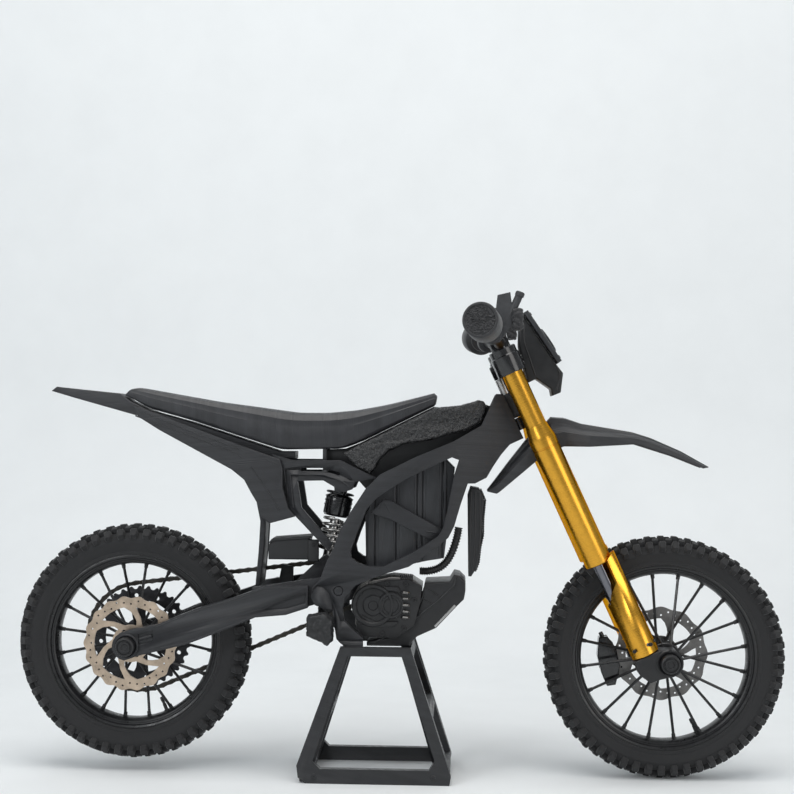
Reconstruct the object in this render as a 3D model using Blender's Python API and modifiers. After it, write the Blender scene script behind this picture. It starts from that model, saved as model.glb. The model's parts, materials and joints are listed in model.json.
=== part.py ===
# Quarter-scale radio controlled dirt bike on its paddock stand.
# Frame: origin on the ground under the middle of the tyres, +X towards the front wheel,
# +Y to the rider's left, +Z up.  Sizes below are in millimetres; the helpers turn them into metres.
# Side-view outlines are offsets (x, z) from the swingarm pivot, or (s, n) along and ahead of
# the steering axis.
import math

import bmesh
import bpy
from mathutils import Matrix, Vector

mm = 0.001

# --- driving dimensions ---------------------------------------------------------------------------
frame_reach = 129.8           # swingarm pivot to the steering reference point, along X
frame_rise = 103.2            # the same, along Z
frame_half_width = 33.5       # outer face of the side frames at the pivot
frame_head_half_width = 15.0  # outer face of the side frames at the head tube
frame_wall = 5.5
rake_deg = 24.8
fork_length = 175.6           # reference point to the front axle, along the fork
fork_spread = 26.0            # half the distance between the fork tubes
fork_offset = 9.0             # fork tubes ahead of the steering axis
axle_lead = 15.3              # front axle ahead of the fork tubes
fork_upper_radius = 7.25
fork_lower_radius = 9.45
stanchion_radius = 4.75
fork_travel = 14.5
front_tyre_radius = 84.0
front_tyre_width = 26.0
front_rim_radius = 57.6       # inner face of the rim
front_bead_radius = 63.6
rear_tyre_radius = 82.4
rear_tyre_width = 29.0
rear_rim_radius = 54.6
rear_bead_radius = 60.5
brake_disc_radius = 33.0
brake_disc_thickness = 1.5
spoke_count = 20
spoke_radius = 0.95
spoke_lean_deg = 16.0
front_spoke_turn_deg = 7.8    # where the first spoke meets the rim
rear_spoke_turn_deg = 10.6
wheel_segments = 36
axle_radius = 3.0
swingarm_length = 151.4
swingarm_droop_deg = 15.3
arm_thickness = 9.0
pivot_bolt_radius = 3.0
chain_pitch = 6.35
front_teeth = 14
rear_teeth = 35
chain_width = 5.0
chain_height = 3.6
sprocket_thickness = 2.0
shock_length = 52.9
shock_tilt_deg = 10.35
handlebar_half_span = 104.0
handlebar_radius = 4.0
bar_end_radius = 11.8
bar_end_length = 20.0
stand_wall = 5.5
stand_side_gap = 1.0          # between the side frames and the stand's two faces
touch_gap = 0.35              # between solids that rest on each other
running_gap = 0.08            # radial, between a shaft and its bore
drawn_reach = 129.8           # frame_reach, frame_rise and swingarm_length that the outlines are drawn for
drawn_rise = 103.2
drawn_arm = 151.4

# --- places worked out from them ------------------------------------------------------------------
rake = math.radians(rake_deg)
fork_down = (math.sin(rake), -math.cos(rake))
fork_ahead = (math.cos(rake), math.sin(rake))
axle_ahead = fork_offset + axle_lead
head_z = front_tyre_radius - fork_length * fork_down[1] - axle_ahead * fork_ahead[1]
droop = math.radians(swingarm_droop_deg)
reach_ahead = fork_length * fork_down[0] + axle_ahead * fork_ahead[0] + front_tyre_radius
reach_behind = frame_reach + swingarm_length * math.cos(droop) + rear_tyre_radius
head_x = (reach_behind - reach_ahead) / 2       # the origin is midway between the tyres' ends
pivot_x = head_x - frame_reach
pivot_z = head_z - frame_rise
rear_axle_x = pivot_x - swingarm_length * math.cos(droop)
rear_axle_z = pivot_z - swingarm_length * math.sin(droop)
front_pitch_radius = chain_pitch / (2 * math.sin(math.pi / front_teeth))
rear_pitch_radius = chain_pitch / (2 * math.sin(math.pi / rear_teeth))
chain_gap = 1.2                                     # between the rear tyre and the chain
arm_gap = 3.3                                       # between the chain and the swingarm's arms
chain_y = rear_tyre_width / 2 + chain_gap + chain_width / 2
arm_inner = chain_y + chain_width / 2 + arm_gap     # inner face of the swingarm's arms
sprocket_low = chain_y - sprocket_thickness / 2
sprocket_high = chain_y + sprocket_thickness / 2
collar_reach = 1.4                                  # the drive sprocket's collar, past its toothed face
frame_inner = frame_half_width - frame_wall
tongue_outer = frame_inner - 0.5                    # the swingarm's tongues, inside the frame at the pivot
tongue_inner = sprocket_high + collar_reach + 1.9
stand_half_width = frame_half_width + stand_side_gap + stand_wall
foot_z = -39.0                                      # lowest face of frame and skid plate, from the pivot


def fork_point(s, n):
    """A point s down the steering axis and n ahead of it, from the reference point."""
    return (head_x + s * fork_down[0] + n * fork_ahead[0], head_z + s * fork_down[1] + n * fork_ahead[1])


front_axle_x, front_axle_z = fork_point(fork_length, axle_ahead)
shock_tilt = math.radians(shock_tilt_deg)
shock_down = (-math.sin(shock_tilt), -math.cos(shock_tilt))
shock_top = (pivot_x - 1.0, pivot_z + 70.0)


def shock_point(s, n):
    """A point s down the shock's axis and n to its front."""
    return (shock_top[0] + s * shock_down[0] - n * shock_down[1],
            shock_top[1] + s * shock_down[1] + n * shock_down[0])


shock_foot = shock_point(shock_length, 0)


def chassis_points(points):
    """Offsets from the pivot, stretched so that the outline still ends at the head tube."""
    stretch_x = frame_reach / drawn_reach
    stretch_z = frame_rise / drawn_rise
    return [(pivot_x + x * (stretch_x if x > 0 else 1), pivot_z + z * (stretch_z if z > 0 else 1)) for x,
            z in points]


# --- scene and finishes ---------------------------------------------------------------------------
for old in list(bpy.data.objects):
    bpy.data.objects.remove(old, do_unlink=True)

parts = bpy.data.collections.new("rc_motorcycle")
cutters = bpy.data.collections.new("rc_motorcycle_cutters")
bpy.context.scene.collection.children.link(parts)
bpy.context.scene.collection.children.link(cutters)

finishes = {}
for finish_name, colour, roughness, metallic in (
    ("printed_black", (0.035, 0.036, 0.040), 0.55, 0.0),
    ("gloss_black", (0.020, 0.020, 0.022), 0.20, 0.0),
    ("tyre_rubber", (0.030, 0.030, 0.032), 0.85, 0.0),
    ("rim_black", (0.022, 0.022, 0.024), 0.38, 0.3),
    ("gold_anodised", (0.72, 0.42, 0.06), 0.28, 1.0),
    ("dark_chrome", (0.18, 0.18, 0.19), 0.18, 1.0),
    ("steel", (0.50, 0.49, 0.47), 0.32, 1.0),
    ("bronze_steel", (0.52, 0.43, 0.33), 0.35, 1.0),
    ("dark_steel", (0.16, 0.16, 0.17), 0.40, 1.0),
    ("rough_cover", (0.018, 0.018, 0.020), 0.65, 0.0),
):
    material = bpy.data.materials.new(finish_name)
    material.use_nodes = True
    shader = material.node_tree.nodes["Principled BSDF"]
    shader.inputs["Base Color"].default_value = (*colour, 1.0)
    shader.inputs["Roughness"].default_value = roughness
    shader.inputs["Metallic"].default_value = metallic
    finishes[finish_name] = material


# --- modelling helpers ----------------------------------------------------------------------------
def add_object(name, mesh, finish):
    """Put a mesh in the model with its finish and smooth round faces."""
    obj = bpy.data.objects.new(name, mesh)
    parts.objects.link(obj)
    mesh.materials.clear()
    mesh.materials.append(finishes[finish])
    mesh.shade_smooth()
    mesh.set_sharp_from_angle(angle=math.radians(35))
    return obj


def curve_to_object(name, curve, finish, matrix):
    """Evaluate a curve, weld its caps and keep the result as a mesh in world places."""
    holder = bpy.data.objects.new(name + "_curve", curve)
    cutters.objects.link(holder)
    graph = bpy.context.evaluated_depsgraph_get()
    mesh = bpy.data.meshes.new_from_object(holder.evaluated_get(graph))
    bpy.data.objects.remove(holder, do_unlink=True)
    shape = bmesh.new()
    shape.from_mesh(mesh)
    bmesh.ops.remove_doubles(shape, verts=shape.verts, dist=0.01 * mm)
    bmesh.ops.transform(shape, matrix=matrix, verts=shape.verts)
    bmesh.ops.recalc_face_normals(shape, faces=shape.faces)
    shape.to_mesh(mesh)
    shape.free()
    return add_object(name, mesh, finish)


def flat_curve(name, loops, thickness, bevel):
    """A flat outline with holes, extruded to its thickness, its edges chamfered by bevel."""
    curve = bpy.data.curves.new(name, "CURVE")
    curve.dimensions = "2D"
    curve.fill_mode = "BOTH"
    curve.extrude = (thickness / 2 - bevel) * mm
    curve.bevel_depth = bevel * mm
    curve.bevel_resolution = 0
    curve.offset = -bevel * mm
    for loop in loops:
        spline = curve.splines.new("POLY")
        spline.points.add(len(loop) - 1)
        for point, (across, up) in zip(spline.points, loop):
            point.co = (across * mm, up * mm, 0, 1)
        spline.use_cyclic_u = True
    return curve


def plate(name, outline, y_low, y_high, finish, holes=(), bevel=0.0):
    """A flat piece: a side-view outline with holes, from y_low to y_high."""
    curve = flat_curve(name, (outline, *holes), y_high - y_low, bevel)
    upright = Matrix.Translation((0, (y_low + y_high) / 2 * mm, 0)) @ Matrix.Rotation(math.pi / 2, 4, "X")
    return curve_to_object(name, curve, finish, upright)


def along(start, end):
    """A matrix whose +Z runs from start to end, placed at start; both in millimetres."""
    direction = Vector(end) - Vector(start)
    return Matrix.Translation(Vector(start) * mm) @ direction.to_track_quat("Z", "Y").to_matrix().to_4x4()


def turned(name, profile, start, end, finish, segments=24):
    """A turned piece: profile (radius, height) runs top to bottom down its outer side, about start to end."""
    mesh = bpy.data.meshes.new(name)
    closed = profile[0][0] > 0
    count = len(profile)
    edges = [(i, (i + 1) % count) for i in range(count if closed else count - 1)]
    mesh.from_pydata([(r * mm, 0, h * mm) for r, h in profile], edges, [])
    obj = bpy.data.objects.new(name, mesh)
    parts.objects.link(obj)
    screw = obj.modifiers.new("turn", "SCREW")
    screw.axis = "Z"
    screw.steps = segments
    screw.render_steps = segments
    screw.use_merge_vertices = True
    screw.merge_threshold = 0.00001
    screw.use_normal_calculate = True
    graph = bpy.context.evaluated_depsgraph_get()
    solid = bpy.data.meshes.new_from_object(obj.evaluated_get(graph))
    bpy.data.objects.remove(obj, do_unlink=True)
    shape = bmesh.new()
    shape.from_mesh(solid)
    bmesh.ops.transform(shape, matrix=along(start, end), verts=shape.verts)
    bmesh.ops.recalc_face_normals(shape, faces=shape.faces)
    shape.to_mesh(solid)
    shape.free()
    return add_object(name, solid, finish)


def rod(name, start, end, radius, finish, sides=16):
    """A plain round bar."""
    length = (Vector(end) - Vector(start)).length
    return turned(name, [(0, length), (radius, length), (radius, 0), (0, 0)], start, end, finish, sides)


def ring(name, start, end, outer, inner, finish, segments=24):
    """A round sleeve or washer."""
    length = (Vector(end) - Vector(start)).length
    profile = [(outer, length), (outer, 0), (inner, 0), (inner, length)]
    return turned(name, profile, start, end, finish, segments)


def block(name, low, high, finish):
    """A box between two corners."""
    bpy.ops.mesh.primitive_cube_add(size=1)
    cube = bpy.context.object
    mesh = cube.data
    size = [(b - a) * mm for a, b in zip(low, high)]
    middle = [(a + b) / 2 * mm for a, b in zip(low, high)]
    mesh.transform(Matrix.Translation(middle) @ Matrix.Diagonal((*size, 1)))
    bpy.data.objects.remove(cube, do_unlink=True)
    return add_object(name, mesh, finish)


def boolean(obj, tool, operation):
    """Join or cut with a tool, which becomes a cutter."""
    change = obj.modifiers.new(operation.lower(), "BOOLEAN")
    change.operation = operation
    change.solver = "EXACT"
    change.object = tool
    parts.objects.unlink(tool)
    cutters.objects.link(tool)
    tool.hide_render = True
    tool.display_type = "WIRE"
    return obj


def join(obj, tool):
    return boolean(obj, tool, "UNION")


def cut(obj, tool):
    return boolean(obj, tool, "DIFFERENCE")


def step_between(knots, x):
    """Straight-line values between knots (x, value)."""
    if x <= knots[0][0]:
        return knots[0][1]
    for (x0, v0), (x1, v1) in zip(knots, knots[1:]):
        if x <= x1:
            return v0 + (v1 - v0) * (x - x0) / (x1 - x0)
    return knots[-1][1]


def bend_sideways(obj, knots, scale_from=None):
    """Shift a flat piece sideways by the knots' values along X, or scale its width to them."""
    shape = bmesh.new()
    shape.from_mesh(obj.data)
    for x, _ in knots:
        everything = shape.verts[:] + shape.edges[:] + shape.faces[:]
        bmesh.ops.bisect_plane(shape, geom=everything, dist=0.0001 * mm, plane_co=(x * mm, 0, 0),
                               plane_no=(1, 0, 0))
    for vert in shape.verts:
        value = step_between(knots, vert.co.x / mm)
        vert.co.y = vert.co.y * value / scale_from if scale_from else vert.co.y + value * mm
    bmesh.ops.recalc_face_normals(shape, faces=shape.faces)
    shape.to_mesh(obj.data)
    shape.free()
    return obj


def circle(centre, radius, count, turn=0.0):
    """Points of a round hole or boss in a side-view outline."""
    steps = [turn + 2 * math.pi * i / count for i in range(count)]
    return [(centre[0] + radius * math.cos(a), centre[1] + radius * math.sin(a)) for a in steps]


def arc(centre, radius, start_deg, end_deg, count):
    """Points of an arc in a side-view outline."""
    angles = [math.radians(start_deg + (end_deg - start_deg) * i / count) for i in range(count + 1)]
    return [(centre[0] + radius * math.cos(a), centre[1] + radius * math.sin(a)) for a in angles]


def fork_outline(points):
    return [fork_point(s, n) for s, n in points]


# --- frame ----------------------------------------------------------------------------------------
frame_outline = [
    (112, 136), (107, 136), (103, 127), (97, 114), (78, 103), (52, 92), (28, 80), (18, 70), (9, 56), (1, 42),
    (-4, 29), (-9, 18), (-13, 7), (-18, 2), (-19, -4), (-16, -10), (-10, -12), (-4, -13), (-3, -22), (-1,
            -33),
    (2, -36), (7, foot_z), (17, foot_z), (17, -32), (10, -26), (4, -20), (3, -12), (5, -4), (12, 4), (21, 8),
    (35, 13), (48, 17), (57, 23), (68, 31), (75, 37), (79, 45), (83, 59), (88, 74), (93, 74), (101, 78),
    (105, 85), (111, 94), (117, 101), (126.5, 105.5),
]
frame_window = [
    (77, 92), (62, 85), (46, 77), (35, 70), (26, 64), (19, 56), (15, 46), (11, 36), (8, 27), (9, 22),
    (13, 19), (21, 17), (31, 17), (41, 22), (51, 27), (62, 34), (68, 38), (71, 43), (74, 55), (78, 77), (82,
            90),
]
brace_outline = [(21, 53), (30, 63), (35, 62), (71, 42), (74, 37), (66, 33), (51, 41), (35, 49)]
pivot_hole = circle((pivot_x, pivot_z), pivot_bolt_radius + touch_gap, 16)
frame_sway = [                  # how far the side frames draw in towards the head, along X
    (pivot_x + 55 * frame_reach / drawn_reach, 0.0),
    (pivot_x + 75 * frame_reach / drawn_reach, 0.20),
    (pivot_x + 95 * frame_reach / drawn_reach, 0.58),
    (pivot_x + 108 * frame_reach / drawn_reach, 0.90),
    (pivot_x + 116 * frame_reach / drawn_reach, 1.0),
]


def frame_knots(side):
    draw_in = frame_half_width - frame_head_half_width
    return [(x, -side * share * draw_in) for x, share in frame_sway]


def between(side, inner, outer):
    """The low and high Y of a piece that lies from inner to outer on one side."""
    return (inner, outer) if side > 0 else (-outer, -inner)


sides = (("right", -1), ("left", 1))
brace_wall = 3.0
for side_name, side in sides:
    span = between(side, frame_inner, frame_half_width)
    loops = [chassis_points(frame_window), pivot_hole]
    piece = plate("frame_" + side_name, chassis_points(frame_outline), *span, "printed_black", loops)
    bend_sideways(piece, frame_knots(side))
    span = between(side, frame_inner - brace_wall - touch_gap, frame_inner - touch_gap)
    piece = plate("frame_brace_" + side_name, chassis_points(brace_outline), *span, "printed_black")
    bend_sideways(piece, frame_knots(side))

head_tube_low, head_tube_high = -18.6, -36.5
stem_radius = 3.4
head_tube_radius = 8.8


def axis_point(s, n=0.0, y=0.0):
    """A 3-D point on or beside the steering axis."""
    x, z = fork_point(s, n)
    return (x, y, z)


ring("head_tube", axis_point(head_tube_low), axis_point(head_tube_high), head_tube_radius,
     stem_radius + running_gap, "printed_black")

battery_half_width = 19.0
battery_outline = [(18, 10), (60, 20), (72, 22), (79, 84), (71, 92), (49, 83), (27, 70), (17, 50)]
plate("battery_case", chassis_points(battery_outline), -battery_half_width, battery_half_width,
      "printed_black",
      bevel=1.5)

# --- motor, its covers and the skid plate ---------------------------------------------------------
motor_centre = chassis_points([(22, -11)])[0]
motor_radius = 16.0
motor_face = -(frame_inner - 6.0)
motor_back = chain_y - chain_width / 2 - 2.0
turned("motor", [(0, 0), (motor_radius - 2, 0), (motor_radius, -2),
                 (motor_radius, motor_face - motor_back + 2),
                 (motor_radius - 2, motor_face - motor_back), (0, motor_face - motor_back)],
       (motor_centre[0], motor_back, motor_centre[1]), (motor_centre[0], motor_back + 1, motor_centre[1]),
       "dark_steel")
cover = plate("motor_cover", circle(motor_centre, 14.5, 28), motor_face - 5.0, motor_face - touch_gap,
              "printed_black", bevel=0.8)
gear_centre = (motor_centre[0] + 14, motor_centre[1])
join(cover, plate("gear_cover_boss", circle(gear_centre, 9, 20), motor_face - 4.2, motor_face - 0.6,
                  "printed_black"))
motor_plate_outline = [(12, -26), (17, -32), (40, -33), (52, -24), (56, -8), (57, 3), (48, 7.5), (33, 7),
                       (19, 3), (12, -4)]
join(cover, plate("motor_plate", chassis_points(motor_plate_outline), motor_face - 3.6, motor_face - 0.8,
                  "printed_black"))

skid_half_width = -motor_face - 0.6
skid_outline = [
    (19, foot_z), (49, foot_z), (50, -36), (54, -32), (67, -26), (81, -11), (86, -6), (87, 0), (87, 6), (83,
            10),
    (79, 11), (76, 6), (59, 5), (57, -5), (53, -18), (47, -25), (33, -33), (19, -36),
]
plate("skid_plate", chassis_points(skid_outline), -skid_half_width, skid_half_width, "printed_black",
      bevel=0.8)

radiator_half_width = 18.0
radiator_outline = [
    (90, 71), (97, 70), (100, 67), (101.5, 62), (100, 48), (100, 38), (98, 29), (97, 20), (96, 14), (91,
            8.5),
    (88.5, 8.5), (87.5, 51), (87, 65),
]
plate("radiator", chassis_points(radiator_outline), -radiator_half_width, radiator_half_width,
      "printed_black",
      bevel=0.8)


def tube(name, points, radius, finish, resolution=2):
    """A bent round bar or hose through its points."""
    curve = bpy.data.curves.new(name, "CURVE")
    curve.dimensions = "3D"
    curve.bevel_depth = radius * mm
    curve.bevel_resolution = resolution
    curve.use_fill_caps = True
    spline = curve.splines.new("POLY")
    spline.points.add(len(points) - 1)
    for point, place in zip(spline.points, points):
        point.co = (*(Vector(place) * mm), 1)
    return curve_to_object(name, curve, finish, Matrix.Identity(4))


hose_y = -13.0
hose_points = chassis_points([(82, 43), (80.5, 35), (77.5, 26), (73.5, 19), (68, 14.5), (61, 12.5),
                              (55, 12.5)])
tube("coolant_hose", [(x, hose_y, z) for x, z in hose_points], 2.9, "printed_black")

# --- seat, tank cover, tail -----------------------------------------------------------------------
seat_half_width = 19.0
seat_outline = [
    (-154, 134), (-151, 137.5), (-145, 139), (-110, 133), (-86, 129), (-62, 126), (-31, 122), (-10, 122),
    (10, 124),
    (31, 128), (51, 133), (64, 136.5), (66, 134), (65, 128), (39, 115), (13, 102), (0, 97), (-42, 96), (-71,
            105),
    (-106, 116), (-136, 124), (-149, 131),
]
seat = plate("seat", chassis_points(seat_outline), -seat_half_width, seat_half_width, "printed_black",
             bevel=1.5)
seat_widths = [(pivot_x - 154, 10.0), (pivot_x - 120, 14.0), (pivot_x - 60, 18.0), (pivot_x - 10, 19.0),
               (pivot_x + 40, 16.0), (pivot_x + 66, 13.0)]
bend_sideways(seat, seat_widths, seat_half_width)

tank_half_width = 21.0
tank_outline = [
    (1, 94), (14, 100.5), (40, 113.5), (65, 126), (75, 127), (89, 129), (96, 131.5), (100, 130), (101,
            126.5),
    (98, 117.5), (88, 111), (75, 108), (63, 104), (44, 101), (33, 96), (27, 90), (23, 83), (20, 80), (12,
            84),
]
tank = plate("tank_cover", chassis_points(tank_outline), -tank_half_width, tank_half_width, "rough_cover",
             bevel=1.0)
tank_widths = [(x, tank_half_width * (1 - 0.45 * share)) for x, share in frame_sway]
bend_sideways(tank, tank_widths, tank_half_width)
core_half_width = 9.0           # the tank's spine, down to the battery and back under the seat
core_outline = [
    (-13, 96.1), (2, 96.9), (13, 101.4), (39, 114.4), (64, 126.9), (75, 125), (99, 129), (104, 127.5), (104,
            119),
    (97, 112.5), (80, 98.5), (71, 93.4), (49, 84.3), (27, 71.2), (19, 66.5), (14, 72), (8, 79), (2, 86),
    (-13, 88),
]
join(tank, plate("tank_core", chassis_points(core_outline), -core_half_width, core_half_width,
                 "rough_cover"))

tail_outline = [
    (-208, 136), (-204, 139), (-185, 137), (-157, 134.5), (-150.5, 129.5), (-136, 122.5), (-106, 114.5),
    (-77, 105),
    (-44, 94.7), (-33, 94.7), (-33, 89.8), (-46, 90), (-77, 100), (-106, 109), (-135, 117), (-147, 119.5),
    (-167, 125), (-190, 131),
]
tail_half_width = 12.0
tail = plate("tail_fender", chassis_points(tail_outline), -tail_half_width, tail_half_width, "printed_black",
             bevel=0.6)
tail_widths = [(pivot_x - 208, 4.0), (pivot_x - 185, 8.5), (pivot_x - 140, tail_half_width)]
bend_sideways(tail, tail_widths, tail_half_width)

subframe_inner = 17.5
subframe_outer = 22.0
panel_wall = 2.6
panel_outline = [
    (-148, 127), (-106, 111.5), (-42, 89.5), (-40, 83), (-40, 70), (-36, 56), (-31, 50), (-49, 45), (-55,
            50),
    (-57, 58), (-62, 66), (-67, 75), (-76, 82), (-105, 97), (-128, 109), (-143, 118),
]
panel_inner = subframe_outer + touch_gap
for side_name, side in sides:
    span = between(side, panel_inner, panel_inner + panel_wall)
    piece = plate("tail_panel_" + side_name, chassis_points(panel_outline), *span, "printed_black",
                  bevel=0.6)
    bend_sideways(piece, [(pivot_x - 148, -side * 9.0), (pivot_x - 62, 0.0)])

subframe_outline = [
    (-48, 93), (-34, 89), (0, 89), (25, 77), (10, 74), (8, 69), (2, 67), (-12, 75), (-30, 74.5), (-27, 56),
    (-5, 31), (-8, 26), (-35, 54), (-40, 83),
]
subframe = plate("subframe", chassis_points(subframe_outline), -subframe_outer, -subframe_inner,
                 "printed_black")
join(subframe, plate("subframe_far", chassis_points(subframe_outline), subframe_inner, subframe_outer,
                     "printed_black"))
shock_pin_radius = 2.0
join(subframe, plate("pin_boss", circle(shock_top, 3.6, 12, 0.1), -subframe_inner - 1, subframe_inner + 1,
                     "printed_black"))
cut(subframe, ring("pin_waist", (shock_top[0], -5.5, shock_top[1]), (shock_top[0], 5.5, shock_top[1]), 6.0,
                   shock_pin_radius, "printed_black"))
rear_tie = chassis_points([(-38.5, 86)])[0]
join(subframe, plate("subframe_tie", circle(rear_tie, 2.4, 12, 0.1), -subframe_inner - 1, subframe_inner + 1,
                     "printed_black"))

mud_guard_line = chassis_points([(-62, 72), (-58, 60), (-55, 46), (-56, 25), (-58, 1)])
guard_half_wall = 1.6
mud_guard_outline = [(x - guard_half_wall, z) for x, z in mud_guard_line]
mud_guard_outline += [(x + guard_half_wall, z) for x, z in reversed(mud_guard_line)]
plate("mud_guard", mud_guard_outline, -rear_tyre_width / 2, rear_tyre_width / 2 - 0.5, "printed_black")

receiver_outline = [(-50.5, 19.5), (-50.5, 30), (-47, 33), (-22, 35), (-22, 19.5)]
plate("receiver_box", chassis_points(receiver_outline), -17.0, 8.5, "printed_black", bevel=0.8)

peg_outline = [(-20, -16), (-9, -14), (-3, -18), (-3, -33), (-6, -35), (-20, -28)]
for side_name, side in sides:
    span = between(side, frame_half_width + touch_gap, frame_half_width + 17.0)
    plate("footpeg_" + side_name, chassis_points(peg_outline), *span, "printed_black", bevel=0.8)

rod("swingarm_pivot_bolt", (pivot_x, -frame_half_width, pivot_z), (pivot_x, frame_half_width, pivot_z),
    pivot_bolt_radius, "steel")

# --- steering: clamps, fork tubes, bars, lamp, front fender ---------------------------------------
ring_radius = 10.0
lower_clamp = (-18.0, -9.3)          # s of its top and bottom faces
upper_clamp = (-58.0, -48.0)
ring_clamp = (-65.5, -52.0)          # the tall rings at the top of the fork


def axis_plate(name, outline, s_low, s_high, finish, holes=(), bevel=0.0):
    """A flat piece square to the steering axis: its outline is (ahead of the axis, Y)."""
    curve = flat_curve(name, (outline, *holes), abs(s_low - s_high), bevel)
    x, z = fork_point((s_low + s_high) / 2, 0)
    ahead = Vector((fork_ahead[0], 0, fork_ahead[1]))
    up = Vector((-fork_down[0], 0, -fork_down[1]))
    turn = Matrix((ahead, Vector((0, 1, 0)), up)).transposed().to_4x4()
    return curve_to_object(name, curve, finish, Matrix.Translation(Vector((x, 0, z)) * mm) @ turn)


clamp_front = fork_offset + 7.5
clamp_back = 6.3                      # the bridge keeps ahead of the side frames at full lock
boss_radius = head_tube_radius - 0.3
upper_boss_back = -stem_radius
tube_bore = fork_upper_radius + touch_gap
saddle_front = fork_offset + fork_upper_radius - 1.3


def mirrored(half):
    return half + [(n, -y) for n, y in reversed(half)]


def upper_clamp_outline():
    """Flat-backed boss over the stem, bridge, and a ring round each fork tube."""
    half = [(upper_boss_back, 5.5), (upper_boss_back + 2.5, boss_radius), (clamp_back, boss_radius + 0.6),
            (clamp_back, fork_spread - 9.7)]
    half += arc((fork_offset, fork_spread), ring_radius, 245, -55, 14) + [(clamp_front, fork_spread - 9.5)]
    return mirrored(half)


def lower_clamp_outline():
    """Boss on the steering axis and a bridge that ends in a saddle on each tube's inner side."""
    half = arc((0, 0), boss_radius, 170, 50, 6) + [(clamp_back, boss_radius + 0.6),
                                                   (clamp_back, fork_spread - 9.7)]
    half += arc((fork_offset, fork_spread), tube_bore, 228, 312, 8) + [(saddle_front, fork_spread - 9.5)]
    return mirrored(half)


def fork_bores():
    return [circle((fork_offset, y), tube_bore, 20) for y in (-fork_spread, fork_spread)]


axis_plate("lower_triple_clamp", lower_clamp_outline(), lower_clamp[1], lower_clamp[0], "gloss_black")
top_clamp = axis_plate("upper_triple_clamp", upper_clamp_outline(), upper_clamp[1], upper_clamp[0],
                       "gloss_black",
                       fork_bores())
for y in (-fork_spread, fork_spread):
    tall_ring = axis_plate("tall_ring", circle((fork_offset, y), ring_radius - 0.4, 20), ring_clamp[1],
                           ring_clamp[0], "gloss_black",
                           [circle((fork_offset, y), tube_bore + 0.15, 20)])
    join(top_clamp, tall_ring)
rod("steering_stem", axis_point(lower_clamp[0] - touch_gap), axis_point(upper_clamp[1] + touch_gap),
    stem_radius,
    "steel", 24)

tube_end = fork_length - 79.8            # lower end of the fork tube
tube_top = ring_clamp[0] + 1.0
bore_depth = 48.0
for side_name, side in sides:
    y = side * fork_spread
    start = axis_point(tube_end, fork_offset, y)
    tube_length = tube_end - tube_top
    profile = [
        (0, tube_length), (fork_upper_radius - 1, tube_length), (fork_upper_radius, tube_length - 1),
        (fork_upper_radius, tube_end + 8.4), (fork_lower_radius, tube_end - 0.6), (fork_lower_radius, 1),
        (fork_lower_radius - 1, 0), (stanchion_radius + 0.25, 0), (stanchion_radius + 0.25, bore_depth),
        (0, bore_depth),
    ]
    turned("fork_tube_" + side_name, profile, start, axis_point(tube_top, fork_offset, y), "gold_anodised",
           20)

bar_centre = fork_point(-70.6, 10.0)
bar_tip = (bar_centre[0] - 14.7, bar_centre[1] + 10.2)
bar_bend_y = 20.0
bar_inner_end = handlebar_half_span - 26.0
bar_slope = ((bar_tip[0] - bar_centre[0]) / (handlebar_half_span - bar_bend_y),
             (bar_tip[1] - bar_centre[1]) / (handlebar_half_span - bar_bend_y))


def bar_point(y):
    """The handlebar's centre line at y."""
    out = max(0.0, abs(y) - bar_bend_y)
    return (bar_centre[0] + bar_slope[0] * out, y, bar_centre[1] + bar_slope[1] * out)


bar_stations = (-bar_inner_end, -bar_bend_y - 6, -bar_bend_y - 3, -bar_bend_y + 3, -bar_bend_y + 6)
bar_line = [bar_point(y) for y in (*bar_stations, *(-y for y in reversed(bar_stations)))]
tube("handlebar", bar_line, handlebar_radius, "dark_steel")
riser_outline = [(upper_clamp[0] + 2, 4.5), (upper_clamp[0] + 2, 14.5), (-66.0, 14.5), (-66.0, 5.5)]
join(top_clamp, plate("bar_riser", fork_outline(riser_outline), -10.0, 10.0, "gloss_black"))
for side_name, side in sides:
    inner = Vector(bar_point(side * (bar_inner_end + touch_gap)))
    outer = Vector(bar_point(side * handlebar_half_span))
    length = (outer - inner).length
    profile = [(0, length), (bar_end_radius - 0.8, length), (bar_end_radius, length - 0.8),
               (bar_end_radius, length - bar_end_length), (9.0, length - bar_end_length - 1), (8.5, 0), (0,
                       0)]
    turned("grip_" + side_name, profile, inner, outer, "printed_black", 20)

lever_y = 58.0
lever_wall = 5.0
lever_rod_radius = 2.7
for side_name, side in sides:
    x0, _, z0 = bar_point(side * lever_y)
    span = between(side, lever_y - lever_wall / 2, lever_y + lever_wall / 2)
    outline = [(x0 - 6, z0 - 5), (x0 - 7, z0 + 4), (x0 + 3, z0 + 16), (x0 + 4, z0 + 25),
               (x0 + 12.5, z0 + 27),
               (x0 + 14.5, z0 + 12), (x0 + 13, z0 + 4), (x0 + 6, z0 - 6)]
    hole = circle((x0, z0), handlebar_radius + 1.1, 16)
    lever = plate("lever_" + side_name, outline, *span, "printed_black", [hole])
    rod_start = (x0 + 11, side * lever_y, z0 + 8)
    rod_end = (x0 + 19, side * (lever_y + 1), z0 + 26)
    join(lever, rod("lever_rod", rod_start, rod_end, lever_rod_radius, "printed_black", 10))

lamp_face = [
    (-3.8, 89.6), (-1.0, 91.4), (22.8, 56.4), (20.0, 54.4),
]
lamp_shell = [
    (-4.6, 88.6), (19.2, 53.8), (23.9, 47.8), (22.4, 34.3), (16.4, 31.8), (15.4, 36.8), (5.4, 43.8),
    (-0.6, 40.8), (-4.1, 54.8), (-7.0, 66.8), (-7.0, 82.4),
]


def head_points(points):
    """Offsets (x, z) from the reference point on the steering axis."""
    return [(head_x + x, head_z + z) for x, z in points]


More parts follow.
